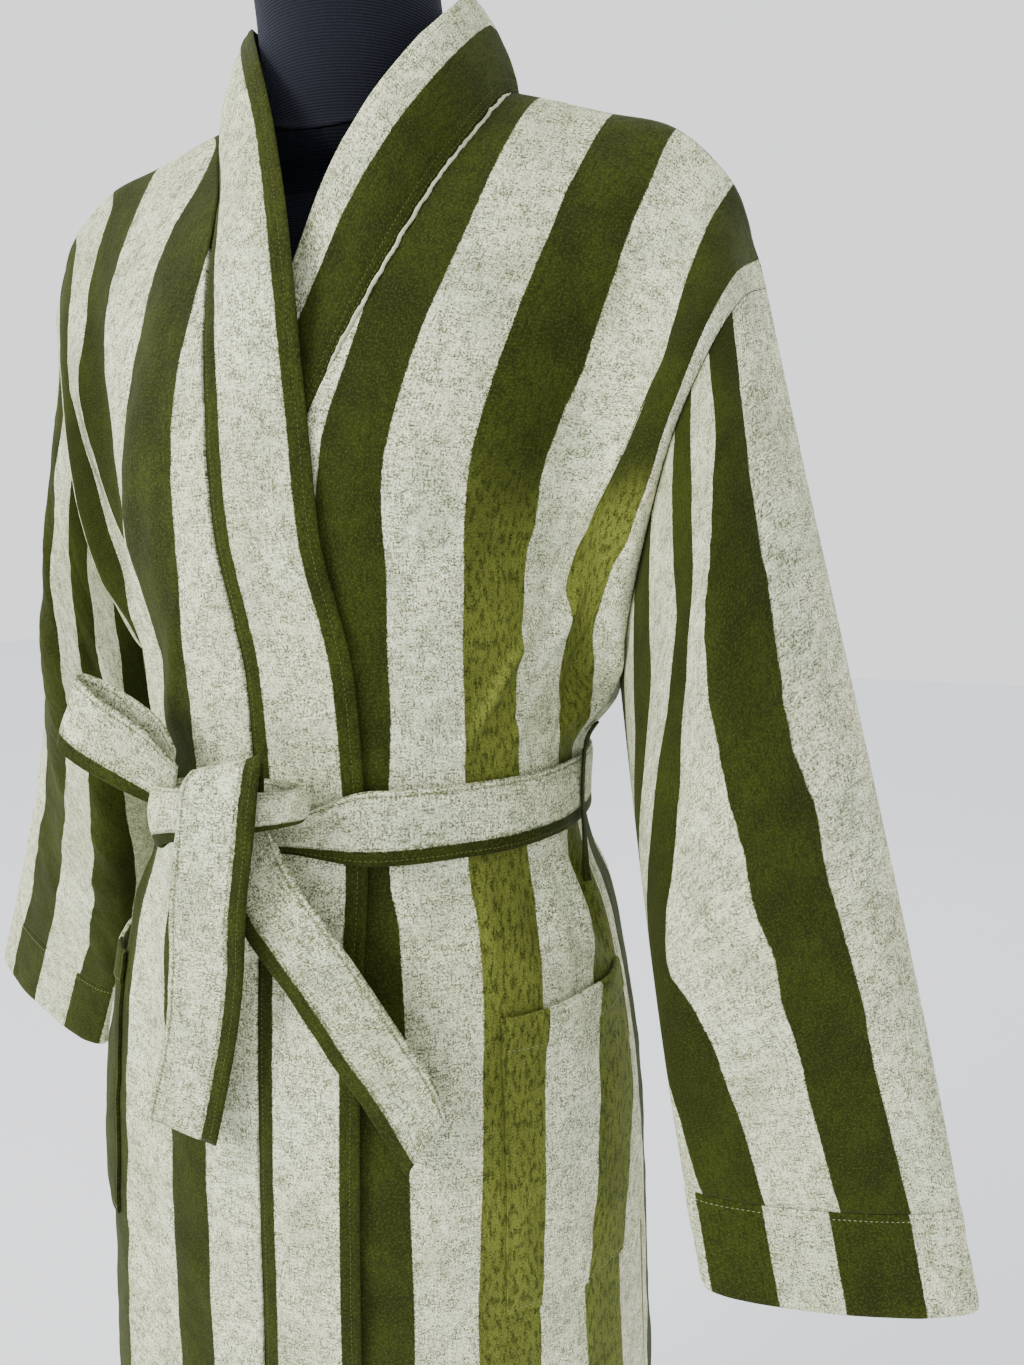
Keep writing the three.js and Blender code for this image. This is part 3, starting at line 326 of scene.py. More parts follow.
def bell_folds(table, place, z):
    """Sum over a table's rows of depth * exp(-off^2) * (1 - run^2)^2, where off is the distance from
    the slanting middle line in fold widths and run goes from -1 to 1 along the fold."""
    total = np.zeros(np.broadcast(place, z).shape)
    for across, slant, top, bottom, width, depth in table:
        middle = (top + bottom) / 2
        run = np.clip((z - middle) / ((top - bottom) / 2), -1, 1)
        off = (place - across - slant * (z - middle)) / width
        total = total + depth * np.exp(-off * off) * (1 - run * run) ** 2
    return total


def ripple(s, t, seed, longest=90, shortest=14, waves=26):
    """Small unevenness of soft cloth, about 1 high: a sum of sine waves of mixed directions and
    lengths, longer ones stronger."""
    random = np.random.default_rng(seed)
    total = 0
    for length in np.geomspace(longest, shortest, waves):
        turn, phase = random.uniform(0, math.pi), random.uniform(0, 2 * math.pi)
        wave = (s * math.cos(turn) + t * math.sin(turn)) * 2 * math.pi / length
        total = total + np.sin(wave + phase + 0.7 * np.sin(wave * 0.31 + phase)) * length / longest
    return total / 4


print("a ripple's heights:", ripple(np.arange(0, 100, 25), 0, 1).round(2))

# %% Levels and sections


class Level:
    """One or many levels of a panel: drop goes from 0 at the shoulder to 1 at the chest, z is the
    height below the chest, and hole goes from 0 to 1 down the armhole."""

    def __init__(self, drop, z, hole):
        self.drop, self.z, self.hole = (np.asarray(v, float) for v in (drop, z, hole))
        self.neck_z = np.where(self.drop < 1, mix(NECK_Z, CHEST_Z, self.drop), self.z)


def lower_hole(z):
    """The way down the armhole at a level under the chest. Beyond 1 lies the side seam."""
    return mix(DROP_TO_ARMHOLE, 1, (CHEST_Z - z) / (CHEST_Z - UNDERARM_Z))


def section_point(half, depth, along):
    """A place on a level section at a distance along it from the middle of the front or back. The
    angle is the turn less a sine of twice the turn, which evens out the steps along an ellipse."""
    turn = along / (((half + depth) / 2) * (1 + SQUARENESS / 2))
    angle = turn - ((half - depth) / (2 * (half + depth))) * np.sin(2 * turn)
    fill = 1 + SQUARENESS * np.sin(2 * angle) ** 2
    return half * np.sin(angle) * fill, depth * np.cos(angle) * fill


def along_section(panel, side, across, z):
    """Where cloth at a distance across a panel lies round the level section. The middle of a front
    lies true to size, shifted by the wrap, and its outer part is taken up by the section's side."""
    half, depth = SECTIONS.read(hand(side), z), SECTIONS.read(panel, z)
    quarter = (math.pi / 2) * ((half + depth) / 2) * (1 + SQUARENESS / 2)
    if panel == "back":
        return across * quarter / HALF_PANEL
    wrap = WRAP.read(hand(side), z)
    outer = mix(BAND_KNEE - wrap, quarter, (across - BAND_KNEE) / (HALF_PANEL - BAND_KNEE))
    return np.where(across <= BAND_KNEE, across - wrap, outer)


def ring_point(panel, side, along, z):
    """A place on a level section, in front of or behind the line from shoulder to shoulder."""
    half, depth = SECTIONS.read(hand(side), z), SECTIONS.read(panel, z)
    x, y = section_point(half, depth, along)
    facing = 1 if panel == "back" else -1
    return points(side * x, RIDGE_Y * ease(np.abs(x) / half) + facing * y, z)


print("100 mm round the chest:", ring_point("front", 1, np.array([100.0]), CHEST_Z).round(1))

# %% Shoulder line, armhole and side


def ridge_point(panel, side, across):
    """The shoulder line and, between its neck points, the curve of the back neck."""
    z = SHOULDER.read(hand(side), across)
    x = np.minimum(across, SHOULDER.read("x", across))
    y = np.full_like(x, RIDGE_Y)
    if panel == "back":
        inside = across < HALF_NECK
        curve = np.sqrt(np.clip(1 - (across / HALF_NECK) ** 2, 0, 1))
        x = np.where(inside, across, x)
        y = np.where(inside, RIDGE_Y + NECK_BACK_DEPTH * curve, y)
        z = np.where(inside, NECK_Z - NECK_BACK_DROP * curve, z)
    return points(side * x, y, z)


def hanging_point(panel, side, across, level):
    """Cloth that drops from the shoulder line to the chest, then follows the level sections."""
    ring = ring_point(panel, side, along_section(panel, side, across, level.z), level.z)
    top = ridge_point(panel, side, across)
    drop = np.broadcast_to(level.drop, ring.shape[:-1])
    forward = np.sin(math.pi / 2 * drop) ** FULLNESS[panel]
    falling = points(
        mix(top[..., 0], ring[..., 0], drop),
        mix(top[..., 1], ring[..., 1], forward),
        mix(top[..., 2], CHEST_Z, drop),
    )
    return np.where(drop[..., None] < 1, falling, ring)


def edge_point(panel, side, level):
    """The outer edge of a panel: the armhole seam, then the side seam."""
    armhole = ARMHOLES[hand(side)]
    seam = points(
        side * armhole.read("x", level.hole),
        armhole.read(panel, level.hole),
        armhole.read("z", level.hole),
    )
    hanging = hanging_point(panel, side, np.full_like(level.z, HALF_PANEL), level)
    left = (level.z - UNDERARM_PULL_END) / (UNDERARM_Z - UNDERARM_PULL_END)
    hanging[..., 0] += side * UNDERARM_PULL * ease(left)
    return np.where(level.hole[..., None] <= 1, seam, hanging)


print("middle of the back neck:", ridge_point("back", 1, np.array([0.0])).round(1))

# %% The surface of a body panel
LAP_LIFT, LAP_NEAR, LAP_FAR, LAP_TOP, LAP_FADE = 5, 85, 130, 1400, 70
FOLD_CALM_SIDE, FOLD_CALM_TOP, FOLD_CALM_FADE = 30, 1400, 60
BELT_Z, BELT_PRESS, BELT_PRESS_HALF = 995, 0.85, 26
CREASE_SHARE, RIPPLE_HEIGHT = 0.9, 0.95


def outward(place):
    """Level and away from the middle, a little more to the front and back than to the sides."""
    return unit(points(place[..., 0] / 1.2, place[..., 1], 0))


def lap_lift(panel, side, across, z):
    """How far the wearer's right front is lifted near its edge, where it lies over the left one."""
    if panel == "back" or side > 0:
        return 0
    near = ease((LAP_FAR - across) / (LAP_FAR - LAP_NEAR))
    return LAP_LIFT * near * ease((LAP_TOP - z) / LAP_FADE)


def body_point(panel, side, across, level, fine=1.0):
    """A place on a panel's outer face. Fine is how much of the small creases it gets."""
    across = np.broadcast_to(across, np.broadcast(across, level.z).shape).astype(float)
    place = hanging_point(panel, side, across, level)
    reach = ease((across - (HALF_PANEL - ARMHOLE_REACH)) / ARMHOLE_REACH)
    pull = edge_point(panel, side, level) - hanging_point(
        panel, side, np.full_like(level.z, HALF_PANEL), level
    )
    place = place + pull * reach[..., None]
    z = place[..., 2]
    which = (panel, 0) if panel == "back" else (panel, side)
    spot = side * across if panel == "back" else across
    off = bell_folds(FOLDS[which], spot, z) + lap_lift(panel, side, across, z)
    if fine:
        calm = ease((HALF_PANEL - across) / FOLD_CALM_SIDE) * ease((FOLD_CALM_TOP - z) / FOLD_CALM_FADE)
        belt_press = 1 - BELT_PRESS * np.exp(-(((z - BELT_Z) / BELT_PRESS_HALF) ** 4))
        small = bell_folds(CREASES[which], spot, z) * CREASE_SHARE
        small = small + RIPPLE_HEIGHT * ripple(spot, z, 11 + 3 * side + len(panel))
        off = off + fine * small * calm * belt_press
    return place + outward(place) * off[..., None]


at_chest = Level([1.0], [CHEST_Z], [DROP_TO_ARMHOLE])
print("a place on the left front:", body_point("front", 1, np.array([120.0]), at_chest).round(1))

# %% [markdown]
# ## Cloth walls
# A cloth piece is a closed wall: an outer face, an inner face one thickness behind it, and rims
# between them. The normals come from the surface's own neighbouring points. The cloth's own
# measures, across and down the piece, are kept as its UV map in metres, because the stripes and
# the weave have to follow the cloth wherever it goes.

# %% Outward directions


def surface_normals(grid, around):
    """Outward directions: the cross product of the steps along a row and down the columns."""
    down = np.gradient(grid, axis=0)
    if around:
        along = np.roll(grid, -1, 1) - np.roll(grid, 1, 1)
    else:
        along = np.gradient(grid, axis=1)
    return unit(np.cross(along, down))


flat_square = points(np.array([[0, 1], [0, 1]]), 0, np.array([[1, 1], [0, 0]]))
print("a flat square faces", surface_normals(flat_square, False)[0, 0])

# %% Closed walls
# The outer faces are kept by name, because the sewing later runs along them.
outer_faces = {}


def cloth_wall(name, grid, uv, thickness=0.0, around=False, flatten=None, inner_grid=None):
    """A closed wall from a grid of outer points in millimetres. Rows go down, columns go so that
    columns x rows points outwards, and uv has one more column than a grid that goes all round."""
    rows, columns = grid.shape[:2]
    if inner_grid is None:
        normals = surface_normals(grid, around)
        if flatten is not None:
            flatten(normals)
        inner_grid = grid - thickness * normals
    outer_faces[name] = (grid, uv, surface_normals(grid, around))
    vertices = np.concatenate([grid.reshape(-1, 3), inner_grid.reshape(-1, 3)])
    spans = columns if around else columns - 1
    i, j = (a.ravel() for a in np.meshgrid(np.arange(rows - 1), np.arange(spans), indexing="ij"))
    wide = uv.shape[1]

    def at(i, j, inner=0):
        return inner * rows * columns + i * columns + j % columns

    def uv_at(i, j):
        return i * wide + np.minimum(j, wide - 1)

    def quads(*places):
        """Places are (row, column, inner) for the four corners of each face."""
        return (
            np.stack([at(a, b, c) for a, b, c in places], 1),
            np.stack([uv_at(a, b) for a, b, c in places], 1),
        )

    sets = [
        quads((i, j, 0), (i, j + 1, 0), (i + 1, j + 1, 0), (i + 1, j, 0)),
        quads((i, j, 1), (i + 1, j, 1), (i + 1, j + 1, 1), (i, j + 1, 1)),
    ]
    smooth = 2 * len(i)
    j = np.arange(spans)
    top, bottom = np.zeros_like(j), np.full_like(j, rows - 1)
    sets.append(quads((top, j, 0), (top, j, 1), (top, j + 1, 1), (top, j + 1, 0)))
    sets.append(quads((bottom, j, 0), (bottom, j + 1, 0), (bottom, j + 1, 1), (bottom, j, 1)))
    if not around:
        i = np.arange(rows - 1)
        near, far = np.zeros_like(i), np.full_like(i, spans)
        sets.append(quads((i, near, 0), (i + 1, near, 0), (i + 1, near, 1), (i, near, 1)))
        sets.append(quads((i, far, 0), (i, far, 1), (i + 1, far, 1), (i + 1, far, 0)))
    faces = np.concatenate([s[0] for s in sets])
    corners = np.concatenate([s[1] for s in sets])
    made = make_object(name, vertices / 1000, faces)
    made.data.polygons.foreach_set("use_smooth", np.arange(len(faces)) < smooth)
    layer = made.data.uv_layers.new(name="UVMap")
    layer.uv.foreach_set("vector", (uv.reshape(-1, 2)[corners.ravel()] / 1000).astype(np.float32).ravel())
    made["wall_area"] = float(flat_area(grid, around))
    return made


# %% Areas and stacks of rings


def flat_area(grid, around=False):
    """The cloth's area in square metres: half the cross product of each face's diagonals."""
    if around:
        grid = np.concatenate([grid, grid[:, :1]], 1)
    diagonals = np.cross(grid[1:, 1:] - grid[:-1, :-1], grid[1:, :-1] - grid[:-1, 1:])
    return np.linalg.norm(diagonals, axis=-1).sum() / 2 / 1e6


def closed_stack(name, rings):
    """A closed body through rings of places, with a fan of triangles over each end."""
    rows, columns = rings.shape[:2]
    i, j = (a.ravel() for a in np.meshgrid(np.arange(rows - 1), np.arange(columns), indexing="ij"))
    after = (j + 1) % columns
    quads = np.stack(
        [i * columns + j, i * columns + after, (i + 1) * columns + after, (i + 1) * columns + j], 1
    )
    hubs = rings[[0, -1]].mean(1)
    j = np.arange(columns)
    after = (j + 1) % columns
    low = np.stack([np.full_like(j, rows * columns), after, j], 1)
    last = (rows - 1) * columns
    high = np.stack([np.full_like(j, rows * columns + 1), last + j, last + after], 1)
    made = make_object(name, np.concatenate([rings.reshape(-1, 3), hubs]) / 1000, quads, low, high)
    made.data.polygons.foreach_set("use_smooth", np.ones(len(made.data.polygons), bool))
    return made


print("a metre square has", flat_area(points(*np.meshgrid([0, 1000], [0, 1000]), 0)), "m2")

# %% Say what a piece is


def declare(piece, material, node=None):
    """The piece rides the one fixed body, gets its material and may stand for a node of the solid, which is
    then hidden.
    """
    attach(piece, "root")
    if node:
        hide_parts(node)
    piece.data.materials.append(material)
    print(piece.name, len(piece.data.polygons), "faces")


def declare_cloth(piece, node, flat, rests_on, material):
    """A cloth also says how it was cut. Flat is the cut's width and length in metres, and the area
    is the wall's own where that is less."""
    declare(piece, material, node)
    print("  cut", flat, "m, area", round(piece["wall_area"], 4), "m2")


# %% [markdown]
# ## Shader formulas
# A material is a formula over the surface, so it is written as one. A small class holds a number
# that varies over the surface, and the operators of Python add the Math nodes that work it out.

# %% Numbers that vary over a surface


class Varying:
    """A number from a node's output. Formulas with it add Math nodes."""

    def __init__(self, shader, socket):
        self.shader, self.socket = shader, socket

    def make(self, operation, *values):
        """A Math node over the given values."""
        return self.shader.add("ShaderNodeMath", {"operation": operation}, list(values))

    def __add__(self, other):
        return self.make("ADD", self, other)

    __radd__ = __add__

    def __sub__(self, other):
        return self.make("SUBTRACT", self, other)

    def __rsub__(self, other):
        return self.make("SUBTRACT", other, self)

    def __mul__(self, other):
        return self.make("MULTIPLY", self, other)

    __rmul__ = __mul__

    def __truediv__(self, other):
        return self.make("DIVIDE", self, other)

    def __rtruediv__(self, other):
        return self.make("DIVIDE", other, self)

    def __pow__(self, other):
        return self.make("POWER", self, other)

    def __mod__(self, other):
        return self.make("FLOORED_MODULO", self, other)

    def __abs__(self):
        return self.make("ABSOLUTE", self)

    def sine(self):
        """The sine of the number, as an angle in radians."""
        return self.make("SINE", self)

    def above(self, edge, blur):
        """0 below an edge and 1 above it, with a smooth step of the given width."""
        settings = {"interpolation_type": "SMOOTHSTEP", "clamp": True}
        inputs = [self, edge - blur / 2, edge + blur / 2, 0, 1]
        return self.shader.add("ShaderNodeMapRange", settings, inputs)


# %% A material and its nodes


class Shader:
    """A material with one method that adds any node and links or sets its inputs."""

    def __init__(self, name):
        self.material = bpy.data.materials.new(name)
        self.material.use_nodes = True
        self.tree = self.material.node_tree
        self.surface = self.tree.nodes["Principled BSDF"]

    def add(self, kind, settings=None, inputs=(), output=0):
        """A node of any kind, with its inputs by number or by name, and one of its outputs."""
        node = self.tree.nodes.new(kind)
        for key, value in (settings or {}).items():
            setattr(node, key, value)
        pairs = inputs.items() if isinstance(inputs, dict) else enumerate(inputs)
        for key, value in pairs:
            self.give(node.inputs[key], value)
        return Varying(self, node.outputs[output])

    def give(self, socket, value):
        """A varying value is linked to the socket, and a constant one is set on it."""
        if isinstance(value, Varying):
            self.tree.links.new(value.socket, socket)
        else:
            socket.default_value = value

    def mix(self, factor, a, b):
        """A colour between two colours."""
        settings = {"data_type": "RGBA", "clamp_factor": True}
        return self.add("ShaderNodeMix", settings, {0: factor, 6: a, 7: b}, 2)

    def noise(self, vector, scale, detail=2.0, rough=0.5):
        """Soft random patches round 0.5, with scale patches to a metre."""
        inputs = {"Vector": vector, "Scale": scale, "Detail": detail, "Roughness": rough}
        return self.add("ShaderNodeTexNoise", {}, inputs)

    def scaled(self, vector, factors):
        """A vector with each part multiplied by its own factor."""
        return self.add("ShaderNodeVectorMath", {"operation": "MULTIPLY"}, [vector, factors])

    def split(self, vector):
        """The three parts of a vector."""
        parts = self.add("ShaderNodeSeparateXYZ", {}, [vector])
        node = parts.socket.node
        return [Varying(self, node.outputs[k]) for k in range(3)]

    def constants(self, **values):
        """Values of the surface that are the same everywhere."""
        for key, value in values.items():
            self.surface.inputs[key.replace("_", " ")].default_value = value

    def surface_from(self, **values):
        """Values of the surface that vary over it."""
        for key, value in values.items():
            self.give(self.surface.inputs[key.replace("_", " ")], value)

    def bump(self, height, distance, strength):
        """Normals of a relief whose height, times the distance in metres, lies on the surface."""
        inputs = {"Strength": strength, "Distance": distance, "Height": height}
        return self.add("ShaderNodeBump", {}, inputs)


# %% Screen colours and the floor's paint


def colour(red, green, blue):
    """A shader colour from the 0 to 255 values that a screen shows."""
    channels = np.array([red, green, blue]) / 255
    linear = np.where(channels <= 0.04045, channels / 12.92, ((channels + 0.055) / 1.055) ** 2.4)
    return (*[float(v) for v in linear], 1.0)


def matt_floor():
    """Pale painted boards without gloss, a little uneven, for the ground under the stand."""
    shader = Shader("pale_floor")
    place = shader.add("ShaderNodeTexCoord", {}, {}, 3)
    uneven = shader.noise(place, 0.8, 3)
    shader.surface_from(
        Base_Color=shader.mix(uneven, (0.86, 0.87, 0.89, 1), (0.9, 0.91, 0.93, 1)),
        Roughness=0.85 + uneven * 0.1,
    )
    shader.constants(Specular_IOR_Level=0.1)
    return shader.material


floor.data.materials.append(matt_floor())
print("screen grey 128 as light:", round(colour(128, 128, 128)[0], 3))

# %% [markdown]
# ## Striped velvet
# The cloth is a cotton velvet. The olive stripes have a deep pile whose nap lies this way and that,
# so they shift between dark and a yellower green in soft patches, and on parts of the fronts a
# painted sheen lightens the olive. The pale stripes look like a heathered ground with fine dark flecks and
# threads.
# Stripes, flecks and grain are formulas over the cloth's own measures, the soft patches over its
# place in space. A mask says where the cloth is olive, and its edge wavers as a pile's edge does.

# %% Stripes
OLIVE_DARK, OLIVE, OLIVE_TIPS_AND_SHEEN = colour(30, 35, 5), colour(54, 61, 13), colour(112, 120, 50)
PALE, PALE_WARM, PALE_SHADE, FLECK_AND_SHADE = (
    colour(242, 247, 211), colour(243, 242, 203), colour(186, 193, 158), colour(88, 93, 62),
)
STRIPE, STRIPE_START = 46, 70


def repeat_mask(across, blur):
    """1 on the olive stripes of the repeat: the distance from the stripe's middle is under half."""
    middle = STRIPE_START + STRIPE / 2
    place = (across - (middle - STRIPE)) % (2 * STRIPE)
    return 1 - abs(place - STRIPE).above(STRIPE / 2, blur)


def band_mask(across, blur, bands):
    """1 between the two edges of each band."""
    total = 0
    for low, high in bands:
        total = across.above(low, blur) * (1 - across.above(high, blur)) + total
    return total


print("olive from", STRIPE_START, "to", STRIPE_START + STRIPE, "mm, again after", 2 * STRIPE, "mm")

# %% Velvet
NAP_SCALE, CRUSH_SCALE, DENT_SCALE = 13, 30, 75
GRAIN_SCALE, FIBRE_SCALE, TIP_SCALE, THREAD_SCALE, CROWD_SCALE = 330, 900, 700, 520, 90
STRIPE_BLUR, GROOVE_SHADE = 0.8, 0.3
RELIEF_M, RELIEF_STRENGTH = 0.0016, 0.85


def velvet(name, bands=None, lit=None, shade=0.0, grooves=()):
    """The striped velvet: olive bands at fixed places across the piece, or the cloth's repeat. Lit
    gives the measures across and down in metres beyond which the olive gets a painted sheen, shade
    how much painted shade greys the pale stripes, and grooves where rows of stitches press the cloth,
    with painted shade along each groove."""
    shader = Shader(name)
    uv = shader.add("ShaderNodeUVMap", {"uv_map": "UVMap"})
    metres = shader.split(uv)
    waver = (shader.noise(uv, 200, 1) - 0.5) * 1.0 + (shader.noise(uv, 1300, 1) - 0.5) * 1.5
    across = metres[0] * 1000 + waver
    mask = band_mask(across, STRIPE_BLUR, bands) if bands else repeat_mask(across, STRIPE_BLUR)

    place = shader.add("ShaderNodeTexCoord", {}, {}, 3)
    patches = shader.noise(place, NAP_SCALE, 3, 0.5)
    crushed = shader.noise(shader.scaled(place, (1.0, 1.0, 0.75)), CRUSH_SCALE, 4, 0.62)
    fibre = shader.noise(uv, FIBRE_SCALE, 2, 0.7)
    grain = shader.noise(shader.scaled(uv, (1.0, 0.4, 1.0)), GRAIN_SCALE, 3, 0.6)
    turned = patches.above(0.52, 0.3) * 0.25 + crushed.above(0.5, 0.26) * 0.55
    olive = shader.mix(turned, OLIVE_DARK, OLIVE)
    # Painted sheen: beyond the lit measures the olive turns to a lighter, yellower green in patches.
    if lit:
        low, down = lit
        sideways = (metres[0] + patches * 0.03).above(low + 0.015, 0.04)
        below = (metres[1] + patches * 0.1).above(down + 0.05, 0.08)
        olive = shader.mix(sideways * below * (0.62 + 0.38 * turned), olive, OLIVE_TIPS_AND_SHEEN)
    olive = shader.mix(fibre.above(0.5, 0.2) * 0.5 + grain.above(0.54, 0.18) * 0.5, olive, OLIVE_DARK)
    tips = shader.noise(uv, TIP_SCALE, 2, 0.7).above(0.55, 0.12)
    olive = shader.mix(tips * 0.13, olive, OLIVE_TIPS_AND_SHEEN)

    threads, weft = (
        shader.noise(shader.scaled(uv, factors), THREAD_SCALE, 3, 0.75).above(0.52, 0.14)
        for factors in ((1.0, 0.3, 1.0), (0.3, 1.0, 1.0))
    )
    specks = shader.noise(uv, FIBRE_SCALE, 2, 0.75).above(0.53, 0.14)
    crowd = shader.noise(uv, CROWD_SCALE, 3, 0.6).above(0.5, 0.4) * 0.6 + 0.6
    pale = shader.mix(patches.above(0.52, 0.4), PALE, PALE_WARM)
    pale = shader.mix(crushed.above(0.52, 0.2) * 0.5, pale, PALE_SHADE)
    # Painted shade: the pale stripes turn grey by the shade value, and along each groove, where shade
    # falls.
    painted_grey = shade
    for line in grooves:
        painted_grey = (1 - abs(metres[0] * 1000 - line).above(0.9, 1.0)) * GROOVE_SHADE + painted_grey
    pale = shader.mix((threads * 0.36 + weft * 0.34 + specks * 0.85) * crowd + painted_grey, pale, FLECK_AND_SHADE)

    pile = shader.noise(uv, FIBRE_SCALE, 3, 0.7)
    dents = shader.noise(place, DENT_SCALE, 4, 0.6)
    height = pile * 0.25 + crushed * 1.6 + dents * 0.8 + grain * 0.2 + mask * 0.25
    shader.surface_from(
        Base_Color=shader.mix(mask, pale, olive),
        Roughness=0.88 - mask * 0.1 + pile * 0.06,
        Normal=shader.bump(height, RELIEF_M, RELIEF_STRENGTH),
    )
    shader.constants(Sheen_Weight=0.06, Sheen_Roughness=0.4, Sheen_Tint=(0.72, 0.78, 0.48, 1.0))
    shader.constants(Specular_IOR_Level=0.08)
    return shader.material


striped = velvet("striped_velvet")
# Each front has its own copy of the velvet, with painted sheen over a region of its olive.
front_velvet = {
    1: velvet("left_front_velvet", lit=(0.15, 0.24)),
    -1: velvet("right_front_velvet", lit=(0.23, 0.5)),
}
print("a velvet has", len(striped.node_tree.nodes), "nodes")

# %% [markdown]
# ## Back and fronts
# The back is one piece of cloth and each front is another. They could be draped by simulation,
# but the folds of the real robe are soft and shallow, so a worked out surface with folds drawn in
# follows it more closely and comes out the same every time.

# %% Levels down a panel
fine_drop = np.linspace(0, 1, 71) ** 1.15
fine_z = np.concatenate([np.linspace(CHEST_Z, 850, 112)[1:], np.linspace(850, HEM_Z, 100)[1:]])
LEVELS = Level(
    np.concatenate([fine_drop, np.ones_like(fine_z)]),
    np.concatenate([np.full_like(fine_drop, CHEST_Z), fine_z]),
    np.concatenate([fine_drop * DROP_TO_ARMHOLE, lower_hole(fine_z)]),
)
DOWN = Level(LEVELS.drop[:, None], LEVELS.z[:, None], LEVELS.hole[:, None])
print(len(LEVELS.z), "levels from the shoulder to the hem")


def cloth_uv(across, down):
    """The cloth's own measures in millimetres, as one array."""
    return np.stack(np.broadcast_arrays(across, down), -1).astype(float)


def level_seams(normals):
    """Along the shoulder line and the side seam both walls are offset level with the ground, so
    that they part along a straight seam."""
    normals[0, :, 1] = 0
    below = LEVELS.hole > 1
    for column in (0, -1):
        turned = normals[:, column]
        turned[below & (np.abs(turned[:, 0]) > 0.7), 1] = 0
    normals[:] = unit(normals)


# %% Stripe places on the two fronts
# The belt gathers the cloth and the armholes draw it sideways, so the stripes don't run straight
# down. Each edge of a stripe gets its own distance from the centre at some heights. A column is
# named after the cloth's own measure at its edge.
FIRST_EDGE = 24
FRONT_STRIPES = {
    1: Table(
        "z e24 e70 e116 e162 e208 e254 e300",
        (1430, 24, 70, 120, 166, 208, 254, 300), (1331, 24, 76, 116, 158, 206, 258, 302),
        (1269, 24, 74, 108, 152, 204, 262, 305), (1218, 24, 68, 104, 148, 196, 254, 302),
        (1196, 24, 69, 104, 148, 194, 244, 296), (1169, 24, 70, 108, 150, 198, 241, 290),
        (1148, 24, 70, 112, 152, 196, 238, 280), (1104, 24, 72, 116, 156, 200, 240, 277),
        (1057, 24, 74, 118, 158, 199, 246, 276), (1000, 24, 74, 113, 156, 208, 268, 300),
        (958, 24, 73, 112, 156, 214, 284, 312), (935, 24, 72, 116, 160, 216, 276, 314),
        (889, 24, 72, 118, 162, 208, 264, 316), (838, 24, 72, 118, 160, 200, 252, 312),
        (765, 24, 72, 118, 158, 196, 240, 290), (686, 24, 72, 120, 156, 194, 228, 268),
        (250, 24, 72, 118, 162, 206, 242, 288),
    ),
    -1: Table(
        "z e24 e70 e116 e162 e208 e254 e300",
        (1430, 24, 70, 112, 158, 204, 250, 296), (1404, 24, 62, 92, 158, 198, 246, 296),
        (1361, 18, 52, 90, 172, 226, 262, 300), (1290, 16, 60, 114, 205, 246, 275, 303),
        (1227, 22, 70, 125, 200, 246, 275, 303), (1160, 22, 70, 128, 195, 240, 270, 300),
        (1090, 26, 75, 112, 152, 200, 250, 298), (1000, 26, 74, 108, 150, 200, 250, 298),
        (900, 24, 70, 103, 158, 204, 250, 296), (760, 24, 70, 100, 160, 208, 252, 297),
        (250, 24, 70, 101, 170, 222, 262, 302),
    ),
}
print("an edge at the waist:", float(FRONT_STRIPES[1].read("e254", BELT_Z)), "and at the hem:",
      float(FRONT_STRIPES[1].read("e254", HEM_Z)))

# %% The cloth's measure between the edges


def stretched(place, edges, first, last_slope=1.0):
    """The cloth's measure at a place: it grows by one stripe between neighbouring edges, which
    lie wherever the cloth is drawn to, and at its own rate before the first and after the last."""
    measure = first + np.minimum(0, place - edges[0])
    for low, high in zip(edges[:-1], edges[1:]):
        measure = measure + STRIPE * np.clip((place - low) / (high - low), 0, 1)
    return measure + last_slope * np.maximum(0, place - edges[-1])


def stripe_place(side, across, z):
    """The cloth's own measure across a front, which carries the stripes."""
    table = FRONT_STRIPES[side]
    return stretched(across, [table.read(name, z) for name in table.columns[1:]], FIRST_EDGE)


# %% Make the panels


def front_panel(side, columns=104):
    """Across runs from the neckband's seam to the armhole or the side seam."""
    near = BAND_SEAM.read(hand(side), DOWN.neck_z) + SEAM_GAP / 2
    far = HALF_PANEL - np.where(DOWN.hole > 1, SEAM_GAP / 2, 0)
    share = np.linspace(0, 1, columns + 1)
    across = mix(near, far, share)
    grid = body_point("front", side, across, DOWN)
    grid[0, :, 1] -= SEAM_GAP / 2
    uv = cloth_uv(stripe_place(side, across, DOWN.neck_z), NECK_Z - DOWN.neck_z)
    if side > 0:
        grid, uv = grid[:, ::-1], uv[:, ::-1]
    piece = cloth_wall(f"robe_front_{hand(side)}", grid, uv, CLOTH, flatten=level_seams)
    declare_cloth(piece, f"front_{hand(side)}", (0.318, 1.22), ["form_torso"], front_velvet[side])


def back_panel(columns=168):
    """Both halves of the back in one grid, from the wearer's right to the left."""
    places = np.linspace(-1, 1, columns + 1) * HALF_PANEL
    halves = []
    for side in (-1, 1):
        mine = places[places < 0] if side < 0 else places[places >= 0]
        across = np.abs(mine)[None, :] - np.where(
            (np.abs(mine)[None, :] >= HALF_PANEL) & (DOWN.hole > 1), SEAM_GAP / 2, 0
        )
        halves.append(body_point("back", side, across, DOWN))
    grid = np.concatenate(halves, 1)
    grid[0, :, 1] += SEAM_GAP / 2
    uv = cloth_uv(places[None, :] + 2 * STRIPE, NECK_Z - DOWN.neck_z)
    piece = cloth_wall("robe_back", grid, uv, CLOTH, flatten=level_seams)
    declare_cloth(piece, "back", (0.636, 1.2), ["form_torso"], striped)


for side in (1, -1):
    front_panel(side)
back_panel()

# %% [markdown]
# ## Neckband
# The neckband is a straight strip folded double, sewn to the neck and front edges. Below the chest
# it lies flat like the front it is sewn to. Above, it turns away from the body and stands up round
# the neck as a soft collar, so its free edge gets a line of its own.
# Seams press a groove into such a band and its folded edge is round, so both are in the mesh.

